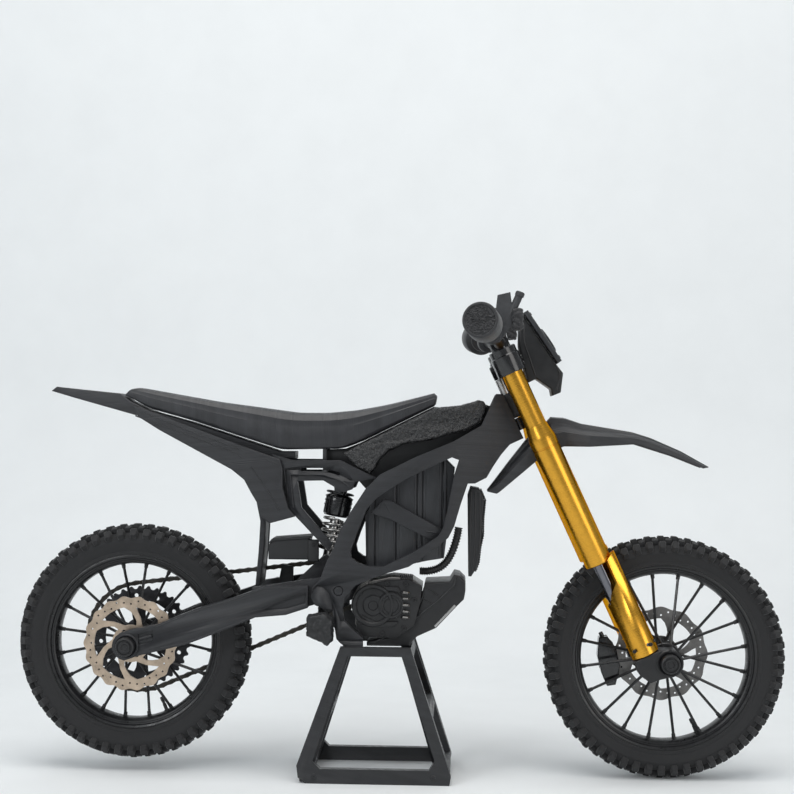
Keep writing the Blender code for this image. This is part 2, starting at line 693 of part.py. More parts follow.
plate("headlight_face", head_points(lamp_face), -16.0, 16.0, "gloss_black")
plate("headlight_shell", head_points(lamp_shell), -13.5, 13.5, "printed_black", bevel=0.8)

fender_half_width = fork_spread - fork_lower_radius - 1.25   # between the fork tubes
fender_outline = [
    (-28.1, -34.2), (-0.6, 2.3), (6.4, 7.8), (11.9, 10.3), (14.7, 17.8), (25.4, 16.8), (37.4, 12.8),
    (53.4, 10.3), (72.4, 7.3), (85.4, 3.3), (106.4, -5.7), (125.4, -16.2), (121.4, -17.7), (101.4, -9.7),
    (74.4, -1.2), (58.4, -2.2), (42.4, -3.2), (24.4, -3.2), (8.4, -11.2), (-21.1, -36.7),
]
fender = plate("front_fender", head_points(fender_outline), -fender_half_width, fender_half_width,
               "printed_black",
               bevel=0.6)
fender_widths = [(head_x - 20, 11.5), (head_x, fender_half_width - 0.3), (head_x + 27, fender_half_width),
                 (head_x + 42, 21.0), (head_x + 82, 19.0), (head_x + 126, 7.0)]
bend_sideways(fender, fender_widths, fender_half_width)

# --- lower fork -----------------------------------------------------------------------------------
guard_wall = 1.2
guard_outer = fork_lower_radius + 0.15
guard_lead = 3.3                      # guard's axis ahead of the fork tube
slant_front = fork_offset + 0.53 * fork_lower_radius   # below the tube's end the guard stays ahead of this
guard_low = fork_length - 11.1
guard_high = tube_end - 6.6
clamp_top = guard_low + 0.5
stanchion_top = tube_end - 22.0
axle_clamp_outline = [
    (clamp_top, -6), (clamp_top, 13.5), (fork_length - 6, 23), (fork_length, 25), (fork_length + 6.5, 22.5),
    (fork_length + 9.5, 15), (fork_length + 7.5, 5), (fork_length + 7, -2), (fork_length - 1, -6.5),
]
axle_clamp_inner = front_tyre_width / 2 + 3.8
axle_clamp_outer = axle_clamp_inner + 18.0
for side_name, side in sides:
    y = side * fork_spread
    rod("stanchion_" + side_name, axis_point(clamp_top - touch_gap, fork_offset, y),
        axis_point(stanchion_top, fork_offset, y), stanchion_radius, "dark_chrome", 20)
    ahead = fork_offset + guard_lead
    guard = ring("fork_guard_" + side_name, axis_point(guard_low, ahead, y),
                 axis_point(guard_high, ahead, y),
                 guard_outer, guard_outer - guard_wall, "gold_anodised", 24)
    cut_end = tube_end + fork_travel + 0.5      # the tube's end stays above this at full travel
    open_side = [(tube_end - 9, slant_front + 0.2), (tube_end - 9, -12), (cut_end + 21, -12),
                 (cut_end + 13, fork_offset - 4.5), (cut_end + 6.5, fork_offset - 1.5), (cut_end,
                         slant_front + 0.2)]
    cut(guard, plate("guard_opening", fork_outline(open_side), y - 12, y + 12, "gold_anodised"))
    slant = [(tube_end - 10, fork_offset - 8), (tube_end - 10, fork_offset + 16),
             (tube_end - 6, fork_offset + 16),
             (tube_end - 1, slant_front), (tube_end - 1, fork_offset - 8)]
    cut(guard, plate("guard_slant", fork_outline(slant), y - 12, y + 12, "gold_anodised"))
    outline = fork_outline([(s, n + fork_offset) for s, n in axle_clamp_outline])
    hole = circle((front_axle_x, front_axle_z), axle_radius + touch_gap, 16)
    span = between(side, axle_clamp_inner, axle_clamp_outer)
    plate("axle_clamp_" + side_name, outline, *span, "printed_black", [hole])


def axle(name, x, z, hub_end, holder_inner, holder_outer, finish):
    """A wheel axle: its shaft, the spacers beside the hub and a nut at each end."""
    nut = 5.0
    half = [(axle_radius + 1.0, holder_outer + touch_gap + nut + 1.2), (6.2, holder_outer + touch_gap + nut),
            (6.2, holder_outer + touch_gap), (axle_radius, holder_outer + touch_gap),
            (axle_radius, holder_inner - touch_gap), (5.0, holder_inner - touch_gap),
            (5.0, hub_end + touch_gap), (axle_radius, hub_end + touch_gap)]
    top = holder_outer + touch_gap + nut + 1.2
    profile = [(0, top), *half, *((r, -h) for r, h in reversed(half)), (0, -top)]
    return turned(name, profile, (x, 0, z), (x, 1, z), finish, 12)


front_hub_end = front_tyre_width / 2 - 1.0
axle("front_axle", front_axle_x, front_axle_z, front_hub_end, axle_clamp_inner, axle_clamp_outer,
     "dark_steel")

caliper_slot = (front_hub_end - 0.6, front_hub_end + brake_disc_thickness + 0.6)
caliper_x = front_axle_x - brake_disc_radius
caliper_z = front_axle_z
caliper_outline = [(caliper_x - 11, caliper_z + 11), (caliper_x - 5, caliper_z + 12),
                   (caliper_x + 1, caliper_z + 4),
                   (caliper_x + 4, caliper_z - 9), (caliper_x + 1, caliper_z - 22), (caliper_x - 5,
                           caliper_z - 23),
                   (caliper_x - 9, caliper_z - 14), (caliper_x - 12, caliper_z - 2)]
caliper = plate("front_caliper", caliper_outline, caliper_slot[0] - 3.5, caliper_slot[1] + 5.0,
                "gloss_black",
                bevel=0.6)
bracket_x = fork_point(fork_length - 3.6, fork_offset - 6.5)[0] - 1.0
bracket = [(caliper_x - 4, caliper_z - 4), (bracket_x, caliper_z - 4), (bracket_x, caliper_z - 16),
           (caliper_x - 4, caliper_z - 18)]
join(caliper, plate("caliper_bracket", bracket, caliper_slot[1] + 2.2, caliper_slot[1] + 4.6, "gloss_black"))
cut(caliper, block("caliper_slot_cut", (caliper_x - 7.5, caliper_slot[0], caliper_z - 40),
                   (caliper_x + 30, caliper_slot[1], caliper_z + 40), "gloss_black"))


# --- wheels ---------------------------------------------------------------------------------------
def wheel(prefix, x, z, tyre_radius, tyre_width, rim_radius, bead_radius, hub_low, hub_high, first_turn_deg):
    """Tyre, rim and a hub with its spokes, about an axle at (x, z)."""
    half = tyre_width / 2
    hub_radius = 8.0
    middle = (x, 0, z)
    sideways = (x, 1, z)
    tyre_half = [(bead_radius + touch_gap, 0.72 * half), (bead_radius + 6, 0.94 * half),
                 (tyre_radius - 9, half),
                 (tyre_radius - 3, 0.88 * half), (tyre_radius, 0.5 * half)]
    turned(prefix + "_tyre", tyre_half + [(r, -h) for r, h in reversed(tyre_half)], middle, sideways,
           "tyre_rubber", wheel_segments)
    rim_half = [(rim_radius, 0.34 * half), (rim_radius + 1.5, 0.66 * half), (bead_radius, 0.70 * half)]
    turned(prefix + "_rim", rim_half + [(r, -h) for r, h in reversed(rim_half)], middle, sideways,
           "rim_black",
           wheel_segments)
    bore = axle_radius + running_gap
    hub_profile = [(hub_radius + 2.5, hub_high), (hub_radius + 2.5, hub_high - 2.2), (6.8, hub_high - 3.2),
                   (6.8, hub_low + 3.2), (hub_radius + 2.5, hub_low + 2.2), (hub_radius + 2.5, hub_low),
                   (bore, hub_low), (bore, hub_high)]
    hub = turned(prefix + "_spokes", hub_profile, middle, sideways, "rim_black", 24)
    lean = math.radians(spoke_lean_deg)
    for i in range(spoke_count):
        turn = 2 * math.pi * i / spoke_count + math.radians(first_turn_deg)
        side = 1 if i % 2 else -1
        flange_y = (hub_high - 1.1) if side > 0 else (hub_low + 1.1)
        foot_turn = turn + side * lean
        foot = (x + hub_radius * math.cos(foot_turn), flange_y, z + hub_radius * math.sin(foot_turn))
        reach = rim_radius * math.cos(math.pi / wheel_segments) - 1.5 * touch_gap
        tip = (x + reach * math.cos(turn), side * 1.0, z + reach * math.sin(turn))
        join(hub, rod(prefix + "_spoke_" + str(i), foot, tip, spoke_radius, "rim_black", 6))
    return hub


wheel("front", front_axle_x, front_axle_z, front_tyre_radius, front_tyre_width, front_rim_radius,
      front_bead_radius,
      -front_hub_end, front_hub_end - touch_gap, front_spoke_turn_deg)
ring("front_brake_disc", (front_axle_x, front_hub_end, front_axle_z),
     (front_axle_x, front_hub_end + brake_disc_thickness, front_axle_z), brake_disc_radius, 5.8,
     "dark_steel", 36)

rear_disc_low = -sprocket_high
rear_disc_high = rear_disc_low + brake_disc_thickness
wheel("rear", rear_axle_x, rear_axle_z, rear_tyre_radius, rear_tyre_width, rear_rim_radius, rear_bead_radius,
      rear_disc_high + touch_gap, sprocket_low - touch_gap, rear_spoke_turn_deg)
ring("rear_brake_disc", (rear_axle_x, rear_disc_low, rear_axle_z),
     (rear_axle_x, rear_disc_high, rear_axle_z),
     brake_disc_radius, 5.8, "bronze_steel", 36)


def sprocket_outline(centre, pitch_radius, teeth):
    """A toothed edge: a root and a tip for each tooth."""
    points = []
    for i in range(teeth):
        for share, radius in ((-0.25, -1.3), (-0.08, 0.9), (0.08, 0.9), (0.25, -1.3)):
            turn = 2 * math.pi * (i + share) / teeth
            reach = pitch_radius + radius
            points.append((centre[0] + reach * math.cos(turn), centre[1] + reach * math.sin(turn)))
    return points


rear_centre = (rear_axle_x, rear_axle_z)
front_centre = (pivot_x, pivot_z)
rear_sprocket_holes = [circle(rear_centre, 5.8, 16)]
rear_sprocket_holes += [circle(c, 4.6, 8) for c in circle(rear_centre, 23.0, 6)]
plate("rear_sprocket", sprocket_outline(rear_centre, rear_pitch_radius, rear_teeth), sprocket_low,
      sprocket_high,
      "dark_steel", rear_sprocket_holes)
drive_bore = circle(front_centre, pivot_bolt_radius + running_gap, 20)
drive = plate("drive_sprocket", sprocket_outline(front_centre, front_pitch_radius, front_teeth),
              sprocket_low,
              sprocket_high, "dark_steel", [drive_bore])
join(drive, ring("drive_collar", (pivot_x, sprocket_low - 2.5, pivot_z),
                 (pivot_x, sprocket_high + collar_reach, pivot_z),
                 7.0, pivot_bolt_radius + running_gap, "dark_steel", 20))

# --- chain, swingarm and rear axle ----------------------------------------------------------------
chain_lift = 0.9 + touch_gap             # the chain's inner side runs just outside the teeth's tips


def chain_loop(offset):
    """The chain's run round both sprockets, offset outwards from their pitch circles."""
    r_rear = rear_pitch_radius + offset
    r_front = front_pitch_radius + offset
    heading = math.atan2(front_centre[1] - rear_centre[1], front_centre[0] - rear_centre[0])
    spread = math.acos((r_rear - r_front) / swingarm_length)
    up = math.degrees(heading + spread)
    down = math.degrees(heading - spread)
    return arc(rear_centre, r_rear, up, down + 360, 20) + arc(front_centre, r_front, down, up, 10)


plate("drive_chain", chain_loop(chain_lift + chain_height), chain_y - chain_width / 2,
      chain_y + chain_width / 2,
      "dark_steel", [chain_loop(chain_lift)])

arm_outer = arm_inner + arm_thickness


def arm_points(points):
    """Swingarm offsets from the pivot, stretched to the arm's length and kept round the axle."""
    stretch = swingarm_length / drawn_arm
    return [(pivot_x + x * stretch, pivot_z + z * stretch) for x, z in points]


arm_front = -21.0                                # the arms stop short of the frame's pivot plates
arm_top = [(-140, -28), (-125, -25), (-109, -18), (-93, -12), (-73, -6), (-50, 2.5)]
arm_bottom = [(-36, -17), (-57, -19), (-81, -29), (-104, -38), (-120, -42), (-138, -46.5)]
tongue = [(-60, 1), (-40, 4), (-12, 8.5), *arc((0, 0), 8.5, 90, -90, 10), (-12, -9), (-38, -16), (-60, -19)]
axle_hole = circle(rear_centre, axle_radius + touch_gap, 16)
axle_end = arc(rear_centre, 10.0, 262, 98, 8)
arm_front_edge = [(pivot_x + arm_front, pivot_z + 3), (pivot_x + arm_front, pivot_z - 12)]
swingarm = None
for side_name, side in sides:
    outline = arm_points(arm_top) + arm_front_edge + arm_points(arm_bottom) + axle_end
    span = between(side, arm_inner, arm_outer)
    arm = plate("swingarm" if swingarm is None else "swingarm_far", outline, *span, "printed_black",
                [axle_hole])
    swingarm = arm if swingarm is None else join(swingarm, arm)
for side_name, side in sides:
    span = between(side, tongue_inner, tongue_outer)
    outline = [(pivot_x + x, pivot_z + z) for x, z in tongue]
    join(swingarm, plate("tongue_" + side_name, outline, *span, "printed_black", [pivot_hole]))
cross_outline = [(-42, 0), (-25, 0), (-22, -4), (-24, -13), (-42, -15)]
cross_outline = [(pivot_x + x, pivot_z + z) for x, z in cross_outline]
join(swingarm, plate("cross_member", cross_outline, -tongue_inner - 1, tongue_inner + 1, "printed_black"))
foot_x, foot_top = shock_foot
lug_outline = [(pivot_x - 36, pivot_z - 4), (pivot_x - 34, pivot_z + 2), (foot_x - 5, foot_top + 1.5),
               (foot_x, foot_top + 4.5), (foot_x + 4.5, foot_top), (foot_x + 1, foot_top - 6),
               (pivot_x - 23, pivot_z - 4)]
for y in (-6.6, 4.4):
    join(swingarm, plate("shock_lug", lug_outline, y, y + 2.2, "printed_black"))
join(swingarm, rod("shock_foot_pin", (foot_x, -5.5, foot_top), (foot_x, 5.5, foot_top), 1.6,
                   "printed_black", 12))
guide = [(-47, -2), (-44, 14), (-36, 12), (-36, -2)]
guide = [(pivot_x + x, pivot_z + z) for x, z in guide]
guide_high = chain_y - chain_width / 2 - 0.5
join(swingarm, plate("chain_guide", guide, guide_high - 3.5, guide_high, "printed_black"))
rear_hub_end = sprocket_high + 0.2
axle("rear_axle", rear_axle_x, rear_axle_z, rear_hub_end, arm_inner, arm_outer, "dark_steel")

# --- shock ----------------------------------------------------------------------------------------


def shock_axis(s):
    x, z = shock_point(s, 0)
    return (x, 0, z)


body_low = 21.0
body_bore = 3.6
shock_body = turned("shock_body",
                    [(0, body_low - 2), (4.5, body_low - 2), (5.0, body_low - 5), (9.5, body_low - 7),
                     (9.5, 1.5), (8.5, 0),
                     (body_bore, 0), (body_bore, 12), (0, 12)],
                    shock_axis(body_low), shock_axis(0), "gloss_black", 24)
join(shock_body, rod("top_eye", (shock_top[0], -4.6, shock_top[1]), (shock_top[0], 4.6, shock_top[1]), 5.0,
                     "gloss_black", 16))
cut(shock_body, rod("top_eye_bore", (shock_top[0], -9, shock_top[1]), (shock_top[0], 9, shock_top[1]),
                    shock_pin_radius + running_gap, "gloss_black", 20))

shock_shaft = turned("shock_shaft",
                     [(0, 30), (body_bore - running_gap, 30), (body_bore - running_gap, 10.5), (9.0, 10.5),
                      (9.0, 8.0), (4.0, 7.0), (4.0, 2), (0, 2)],
                     shock_axis(shock_length), shock_axis(0), "steel", 20)
join(shock_shaft, rod("foot_eye", (foot_x, -4.0, foot_top), (foot_x, 4.0, foot_top), 4.6, "steel", 16))
cut(shock_shaft, rod("foot_eye_bore", (foot_x, -9, foot_top), (foot_x, 9, foot_top), 2.6, "steel", 16))

spring_wire = 1.15
spring_radius = 7.4
spring_turns = 4.5
spring_high = body_low + touch_gap + spring_wire
spring_foot = shock_length - 10.5 - touch_gap - spring_wire
coil = []
steps_per_turn = 10
coil_steps = int(spring_turns * steps_per_turn)
to_world = along(shock_axis(0), shock_axis(shock_length))
for i in range(coil_steps + 1):
    turn = 2 * math.pi * i / steps_per_turn
    depth = spring_high + (spring_foot - spring_high) * i / coil_steps
    place = to_world @ Vector((spring_radius * math.cos(turn) * mm, spring_radius * math.sin(turn) * mm,
                               depth * mm))
    coil.append(place / mm)
tube("shock_spring", coil, spring_wire, "steel")

# --- paddock stand --------------------------------------------------------------------------------
stand_top = pivot_z + foot_z - 0.5
stand_lip = stand_top + 2.0
face_outline = [(2, stand_lip), (50, stand_lip), (78, 6), (77, 0), (-21, 0), (-26, 4), (-27, 12)]
face_window = [(7, stand_top - 4), (44, stand_top - 4), (67, 16), (63, 10), (-11, 10), (-16, 15)]
stand = None
for side_name, side in sides:
    span = between(side, stand_half_width - stand_wall, stand_half_width)
    outline = [(pivot_x + x, z) for x, z in face_outline]
    window = [(pivot_x + x, z) for x, z in face_window]
    face = plate("stand" if stand is None else "stand_far", outline, *span, "printed_black", [window])
    stand = face if stand is None else join(stand, face)
panel_reach = stand_half_width - stand_wall + 1.0
for name, top_x, foot, lean in (("stand_rear", 2.2, -26.6, 1), ("stand_front", 49.8, 77.6, -1)):
    outline = [(top_x, stand_top), (top_x + lean * 7, stand_top), (foot + lean * 8, 0.4),
               (foot + lean * 1.5, 0.4),
               (foot, 8)]
    outline = [(pivot_x + x, z) for x, z in outline]
    join(stand, plate(name, outline, -panel_reach, panel_reach, "printed_black"))
window_half = stand_half_width - stand_wall - 6.0
bar_z = stand_top * 0.52
for low, high in ((9.0, bar_z - 3.5), (bar_z + 3.5, stand_top - 6.0)):
    cut(stand, block("stand_window", (pivot_x - 60, -window_half, low), (pivot_x + 110, window_half, high),
                     "printed_black"))

# --- bodies: empties on the joints' axes, with their pieces under them ----------------------------
joint_places = {                # each joint's place (x, z) and the body that carries it
    "steering": ((head_x, head_z), None),
    "fork_lower": (fork_point(tube_end, fork_offset), "steering"),
    "front_wheel": ((front_axle_x, front_axle_z), "fork_lower"),
    "swingarm_body": ((pivot_x, pivot_z), None),
    "rear_wheel": ((rear_axle_x, rear_axle_z), "swingarm_body"),
    "sprocket_shaft": ((pivot_x, pivot_z), None),
    "shock_upper": (shock_top, None),
    "shock_lower": (shock_foot, "shock_upper"),
    "stand_body": ((pivot_x + 26, stand_top), None),
}
both = ("right", "left")
body_pieces = {
    "steering": ["lower_triple_clamp", "upper_triple_clamp", "steering_stem", "handlebar",
                 "headlight_face", "headlight_shell", "front_fender",
                 *(base + side for base in ("fork_tube_", "grip_", "lever_") for side in both)],
    "fork_lower": ["front_axle", "front_caliper",
                   *(base + side for base in ("stanchion_", "fork_guard_", "axle_clamp_") for side in both)],
    "front_wheel": ["front_tyre", "front_rim", "front_spokes", "front_brake_disc"],
    "swingarm_body": ["swingarm", "rear_axle", "drive_chain"],
    "rear_wheel": ["rear_tyre", "rear_rim", "rear_spokes", "rear_brake_disc", "rear_sprocket"],
    "sprocket_shaft": ["drive_sprocket"],
    "shock_upper": ["shock_body", "shock_spring"],
    "shock_lower": ["shock_shaft"],
    "stand_body": ["stand"],
}
empties = {}
places = {}
for body, ((x, z), parent) in joint_places.items():
    world = Vector((x, 0, z)) * mm
    empty = bpy.data.objects.new(body + "_axis", None)
    parts.objects.link(empty)
    empties[body] = empty
    places[body] = world
    empty.parent = empties[parent] if parent else None
    empty.location = world - (places[parent] if parent else Vector((0, 0, 0)))
    for name in body_pieces[body]:
        piece = bpy.data.objects[name]
        piece.data.transform(Matrix.Translation(-world))
        piece.parent = empty
        for change in piece.modifiers:
            change.object.data.transform(Matrix.Translation(-world))
            change.object.parent = empty
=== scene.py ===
import json
import math

import bmesh
import bpy
from mathutils import Matrix, Vector, noise


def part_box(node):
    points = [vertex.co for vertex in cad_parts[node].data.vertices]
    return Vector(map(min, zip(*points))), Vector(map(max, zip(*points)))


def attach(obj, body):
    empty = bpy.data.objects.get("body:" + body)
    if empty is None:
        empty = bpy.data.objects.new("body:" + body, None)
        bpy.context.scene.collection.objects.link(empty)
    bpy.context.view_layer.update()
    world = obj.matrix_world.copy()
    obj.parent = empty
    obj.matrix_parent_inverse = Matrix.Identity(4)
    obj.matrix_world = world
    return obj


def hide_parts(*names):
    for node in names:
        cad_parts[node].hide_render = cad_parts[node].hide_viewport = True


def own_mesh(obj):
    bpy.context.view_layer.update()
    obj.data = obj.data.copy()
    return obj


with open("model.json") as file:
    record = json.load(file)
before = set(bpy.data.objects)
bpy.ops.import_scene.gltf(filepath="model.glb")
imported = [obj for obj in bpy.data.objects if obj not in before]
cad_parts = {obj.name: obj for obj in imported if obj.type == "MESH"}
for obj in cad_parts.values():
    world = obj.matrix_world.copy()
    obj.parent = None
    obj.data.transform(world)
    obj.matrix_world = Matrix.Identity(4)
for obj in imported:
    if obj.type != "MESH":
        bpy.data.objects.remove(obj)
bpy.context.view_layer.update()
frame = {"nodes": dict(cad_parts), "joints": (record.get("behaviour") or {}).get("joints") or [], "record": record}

mm = 0.001
record = frame["record"]
bodyOf = {node: body for body, nodes in record["behaviour"]["bodies"].items() for node in nodes}
joints = {joint["name"]: joint for joint in frame["joints"]}
sides = (("right", -1), ("left", 1))


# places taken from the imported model, in millimetres
def middleOf(node):
    low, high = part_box(node)
    return (Vector(low) + Vector(high)) / 2 / mm


def jointPlace(name):
    return Vector(joints[name]["pos_m"]) / mm


def cadCorners(node):
    low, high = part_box(node)
    return Vector(low) / mm, Vector(high) / mm


frontAxle = middleOf("front_tyre")
rearAxle = middleOf("rear_tyre")
pivot = jointPlace("swingarm_pivot")
headPlace = jointPlace("steering")
shockTop = jointPlace("shock_swing")
forkDown = -Vector(joints["steering"]["axis"]).normalized()
forkAhead = Vector((-forkDown.z, 0, forkDown.x))
shockDown = -Vector(joints["shock_stroke"]["axis"]).normalized()
alongY = Vector((0, 1, 0))


def forkPoint(down, ahead, y=0.0):
    return headPlace + forkDown * down + forkAhead * ahead + alongY * y


def fromPivot(points):
    return [(pivot.x + x, pivot.z + z) for x, z in points]


def fromHead(points):
    return [(headPlace.x + x, headPlace.z + z) for x, z in points]


def sideSpan(side, inner, outer):
    # Low and high Y of something between two distances from the middle plane, on one side.
    return (inner, outer) if side > 0 else (-outer, -inner)


# finishes: every one is a Principled shader with its own pattern of colour, roughness and bump
class Finish:
    def __init__(self, name, colour, roughness, metallic=0.0, **sockets):
        self.material = bpy.data.materials.new(name)
        self.material.use_nodes = True
        self.tree = self.material.node_tree
        self.shader = self.tree.nodes["Principled BSDF"]
        self.colour = colour
        self.roughness = roughness
        self.shader.inputs["Base Color"].default_value = (*colour, 1)
        self.shader.inputs["Roughness"].default_value = roughness
        self.shader.inputs["Metallic"].default_value = metallic
        for socket, value in sockets.items():
            self.shader.inputs[socket.replace("_", " ")].default_value = value
        self.place = self.tree.nodes.new("ShaderNodeTexCoord").outputs["Object"]
        self.height = None

    def node(self, kind, **settings):
        made = self.tree.nodes.new("ShaderNode" + kind)
        for key, value in settings.items():
            setattr(made, key, value)
        return made

    def link(self, source, target):
        self.tree.links.new(source, target)

    def math(self, operation, first, second=None):
        made = self.node("Math", operation=operation)
        for socket, value in zip(made.inputs, (first, second)):
            if value is None:
                continue
            if isinstance(value, (int, float)):
                socket.default_value = value
            else:
                self.link(value, socket)
        return made.outputs[0]

    def noise(self, size, detail=3.0, stretch=None, roughness=0.55):
        # Noise whose grains are about size millimetres; stretch scales it along X, Y and Z.
        vector = self.place
        if stretch:
            scaled = self.node("Mapping")
            scaled.inputs["Scale"].default_value = stretch
            self.link(vector, scaled.inputs["Vector"])
            vector = scaled.outputs["Vector"]
        made = self.node("TexNoise")
        made.inputs["Scale"].default_value = 1 / (size * mm)
        made.inputs["Detail"].default_value = detail
        made.inputs["Roughness"].default_value = roughness
        self.link(vector, made.inputs["Vector"])
        return made.outputs["Fac"]

    def along(self, direction):
        # Distance along a direction, in millimetres.
        made = self.node("VectorMath", operation="DOT_PRODUCT")
        made.inputs[1].default_value = tuple(Vector(direction).normalized() / mm)
        self.link(self.place, made.inputs[0])
        return made.outputs["Value"]

    def stripes(self, distance, pitch, detail=2.0):
        # Uneven bands across a distance, one about every pitch millimetres.
        made = self.node("TexNoise", noise_dimensions="1D")
        made.inputs["Scale"].default_value = 1.0
        made.inputs["Detail"].default_value = detail
        self.link(self.math("MULTIPLY", distance, 1 / pitch), made.inputs["W"])
        return made.outputs["Fac"]

    def spread(self, source, low, high, dark, light):
        # Maps a 0 to 1 source between two values, sharpened between low and high.
        made = self.node("MapRange")
        for socket, value in (("From Min", low), ("From Max", high), ("To Min", dark), ("To Max", light)):
            made.inputs[socket].default_value = value
        self.link(source, made.inputs["Value"])
        return made.outputs["Result"]

    def tint(self, source, dark, light):
        # Colours the surface between two shades.
        made = self.node("ValToRGB")
        made.color_ramp.elements[0].position = 0.3
        made.color_ramp.elements[1].position = 0.7
        made.color_ramp.elements[0].color = (*(c * dark for c in self.colour), 1)
        made.color_ramp.elements[1].color = (*(min(c * light, 1) for c in self.colour), 1)
        self.link(source, made.inputs["Fac"])
        self.link(made.outputs["Color"], self.shader.inputs["Base Color"])
        return self

    def rough(self, source, low, high):
        self.link(self.spread(source, 0.3, 0.7, low, high), self.shader.inputs["Roughness"])
        return self

    def bump(self, source, depth, strength=1.0):
        # Adds relief of about depth millimetres.
        made = self.node("Bump")
        made.inputs["Strength"].default_value = strength
        made.inputs["Distance"].default_value = depth * mm
        self.link(source, made.inputs["Height"])
        if self.height:
            self.link(self.height, made.inputs["Normal"])
        self.height = made.outputs["Normal"]
        self.link(self.height, self.shader.inputs["Normal"])
        return self


def printedPlastic(name, direction, colour=(0.0135, 0.0140, 0.0165), pitch=0.42, relief=0.10, roughness=0.50):
    # Black printed plastic whose layers are stacked along a direction.
    finish = Finish(name, colour, roughness, Specular_IOR_Level=0.5)
    distance = finish.along(direction)
    layers = finish.stripes(distance, pitch, 1.0)
    bands = finish.stripes(distance, pitch * 7, 3.0)
    blotch = finish.noise(9.0, 4.0)
    mixed = finish.math("ADD", finish.math("MULTIPLY", bands, 0.6), finish.math("MULTIPLY", blotch, 0.4))
    finish.tint(mixed, 0.72, 1.42)
    finish.rough(finish.math("ADD", finish.math("MULTIPLY", layers, 0.5),
                             finish.math("MULTIPLY", blotch, 0.5)),
                 roughness - 0.10, roughness + 0.12)
    finish.bump(layers, relief).bump(bands, relief * 1.2, 0.6).bump(finish.noise(0.5, 2.0), 0.03, 0.6)
    return finish.material


def turnedMetal(name, colour, roughness, direction, wear=0.08, **sockets):
    # Metal with fine turning marks round a direction.
    finish = Finish(name, colour, roughness, 1.0, **sockets)
    marks = finish.stripes(finish.along(direction), 0.30, 2.0)
    blotch = finish.noise(6.0, 5.0)
    finish.tint(blotch, 1 - wear, 1 + wear)
    finish.rough(finish.math("ADD", finish.math("MULTIPLY", marks, 0.6),
                             finish.math("MULTIPLY", blotch, 0.4)),
                 roughness - 0.05, roughness + 0.07)
    finish.bump(marks, 0.02, 0.5).bump(finish.noise(1.3, 3.0), 0.01, 0.4)
    return finish.material


def brushedMetal(name, colour, roughness, wear=0.2, scratch=0.03):
    # Flat metal with fine scratches and stains.
    finish = Finish(name, colour, roughness, 1.0)
    scratches = finish.noise(1.2, 4.0, (6.0, 1.0, 0.8))
    crossing = finish.noise(0.9, 4.0, (0.8, 1.0, 5.0))
    stains = finish.noise(7.0, 4.0)
    finish.tint(finish.math("ADD", finish.math("MULTIPLY", stains, 0.7),
                            finish.math("MULTIPLY", scratches, 0.3)),
                1 - wear, 1 + wear)
    finish.rough(finish.math("ADD", finish.math("MULTIPLY", stains, 0.5),
                             finish.math("MULTIPLY", crossing, 0.5)),
                 roughness - 0.10, roughness + 0.14)
    finish.bump(scratches, scratch, 0.5).bump(crossing, scratch, 0.4)
    return finish.material


def smoothPaint(name, colour, roughness, orangePeel=0.03, **sockets):
    # Painted or moulded plastic with a faint orange peel and dust.
    finish = Finish(name, colour, roughness, **sockets)
    dust = finish.noise(4.0, 5.0)
    finish.tint(dust, 0.75, 1.35)
    finish.rough(dust, max(roughness - 0.08, 0.02), roughness + 0.12)
    finish.bump(finish.noise(1.6, 3.0), orangePeel, 0.5)
    return finish.material


def tyreRubber(name, colour, roughness):
    finish = Finish(name, colour, roughness, Specular_IOR_Level=0.4, Sheen_Weight=0.15, Sheen_Roughness=0.5)
    scuff = finish.noise(3.0, 6.0)
    grain = finish.noise(0.45, 3.0)
    finish.tint(finish.math("ADD", finish.math("MULTIPLY", scuff, 0.7), finish.math("MULTIPLY", grain, 0.3)),
                0.65, 1.6)
    finish.rough(scuff, roughness - 0.12, roughness + 0.12)
    finish.bump(grain, 0.06, 0.7).bump(scuff, 0.08, 0.5)
    return finish.material


def sparklingCover(name):
    # Rough cast cover with small bumped facets; bright specks painted into its colour stand for glints of light on
    # them.
    finish = Finish(name, (0.010, 0.010, 0.012), 0.32, Specular_IOR_Level=0.8)
    cells = finish.node("TexVoronoi")
    cells.inputs["Scale"].default_value = 1 / (1.1 * mm)
    finish.link(finish.place, cells.inputs["Vector"])
    grains = finish.noise(0.8, 4.0, None, 0.7)
    facetsAndPaintedGlint = finish.spread(cells.outputs["Distance"], 0.05, 0.42, 1.0, 0.0)
    # painted glints: the colour is brightened up to about four times at the facet centres, mixed with random grain
    finish.tint(finish.math("ADD", finish.math("MULTIPLY", facetsAndPaintedGlint, 0.5),
                            finish.math("MULTIPLY", grains, 0.5)), 0.4, 4.2)
    finish.rough(grains, 0.16, 0.48)
    finish.bump(facetsAndPaintedGlint, 0.55, 1.0).bump(grains, 0.60, 1.0)
    return finish.material


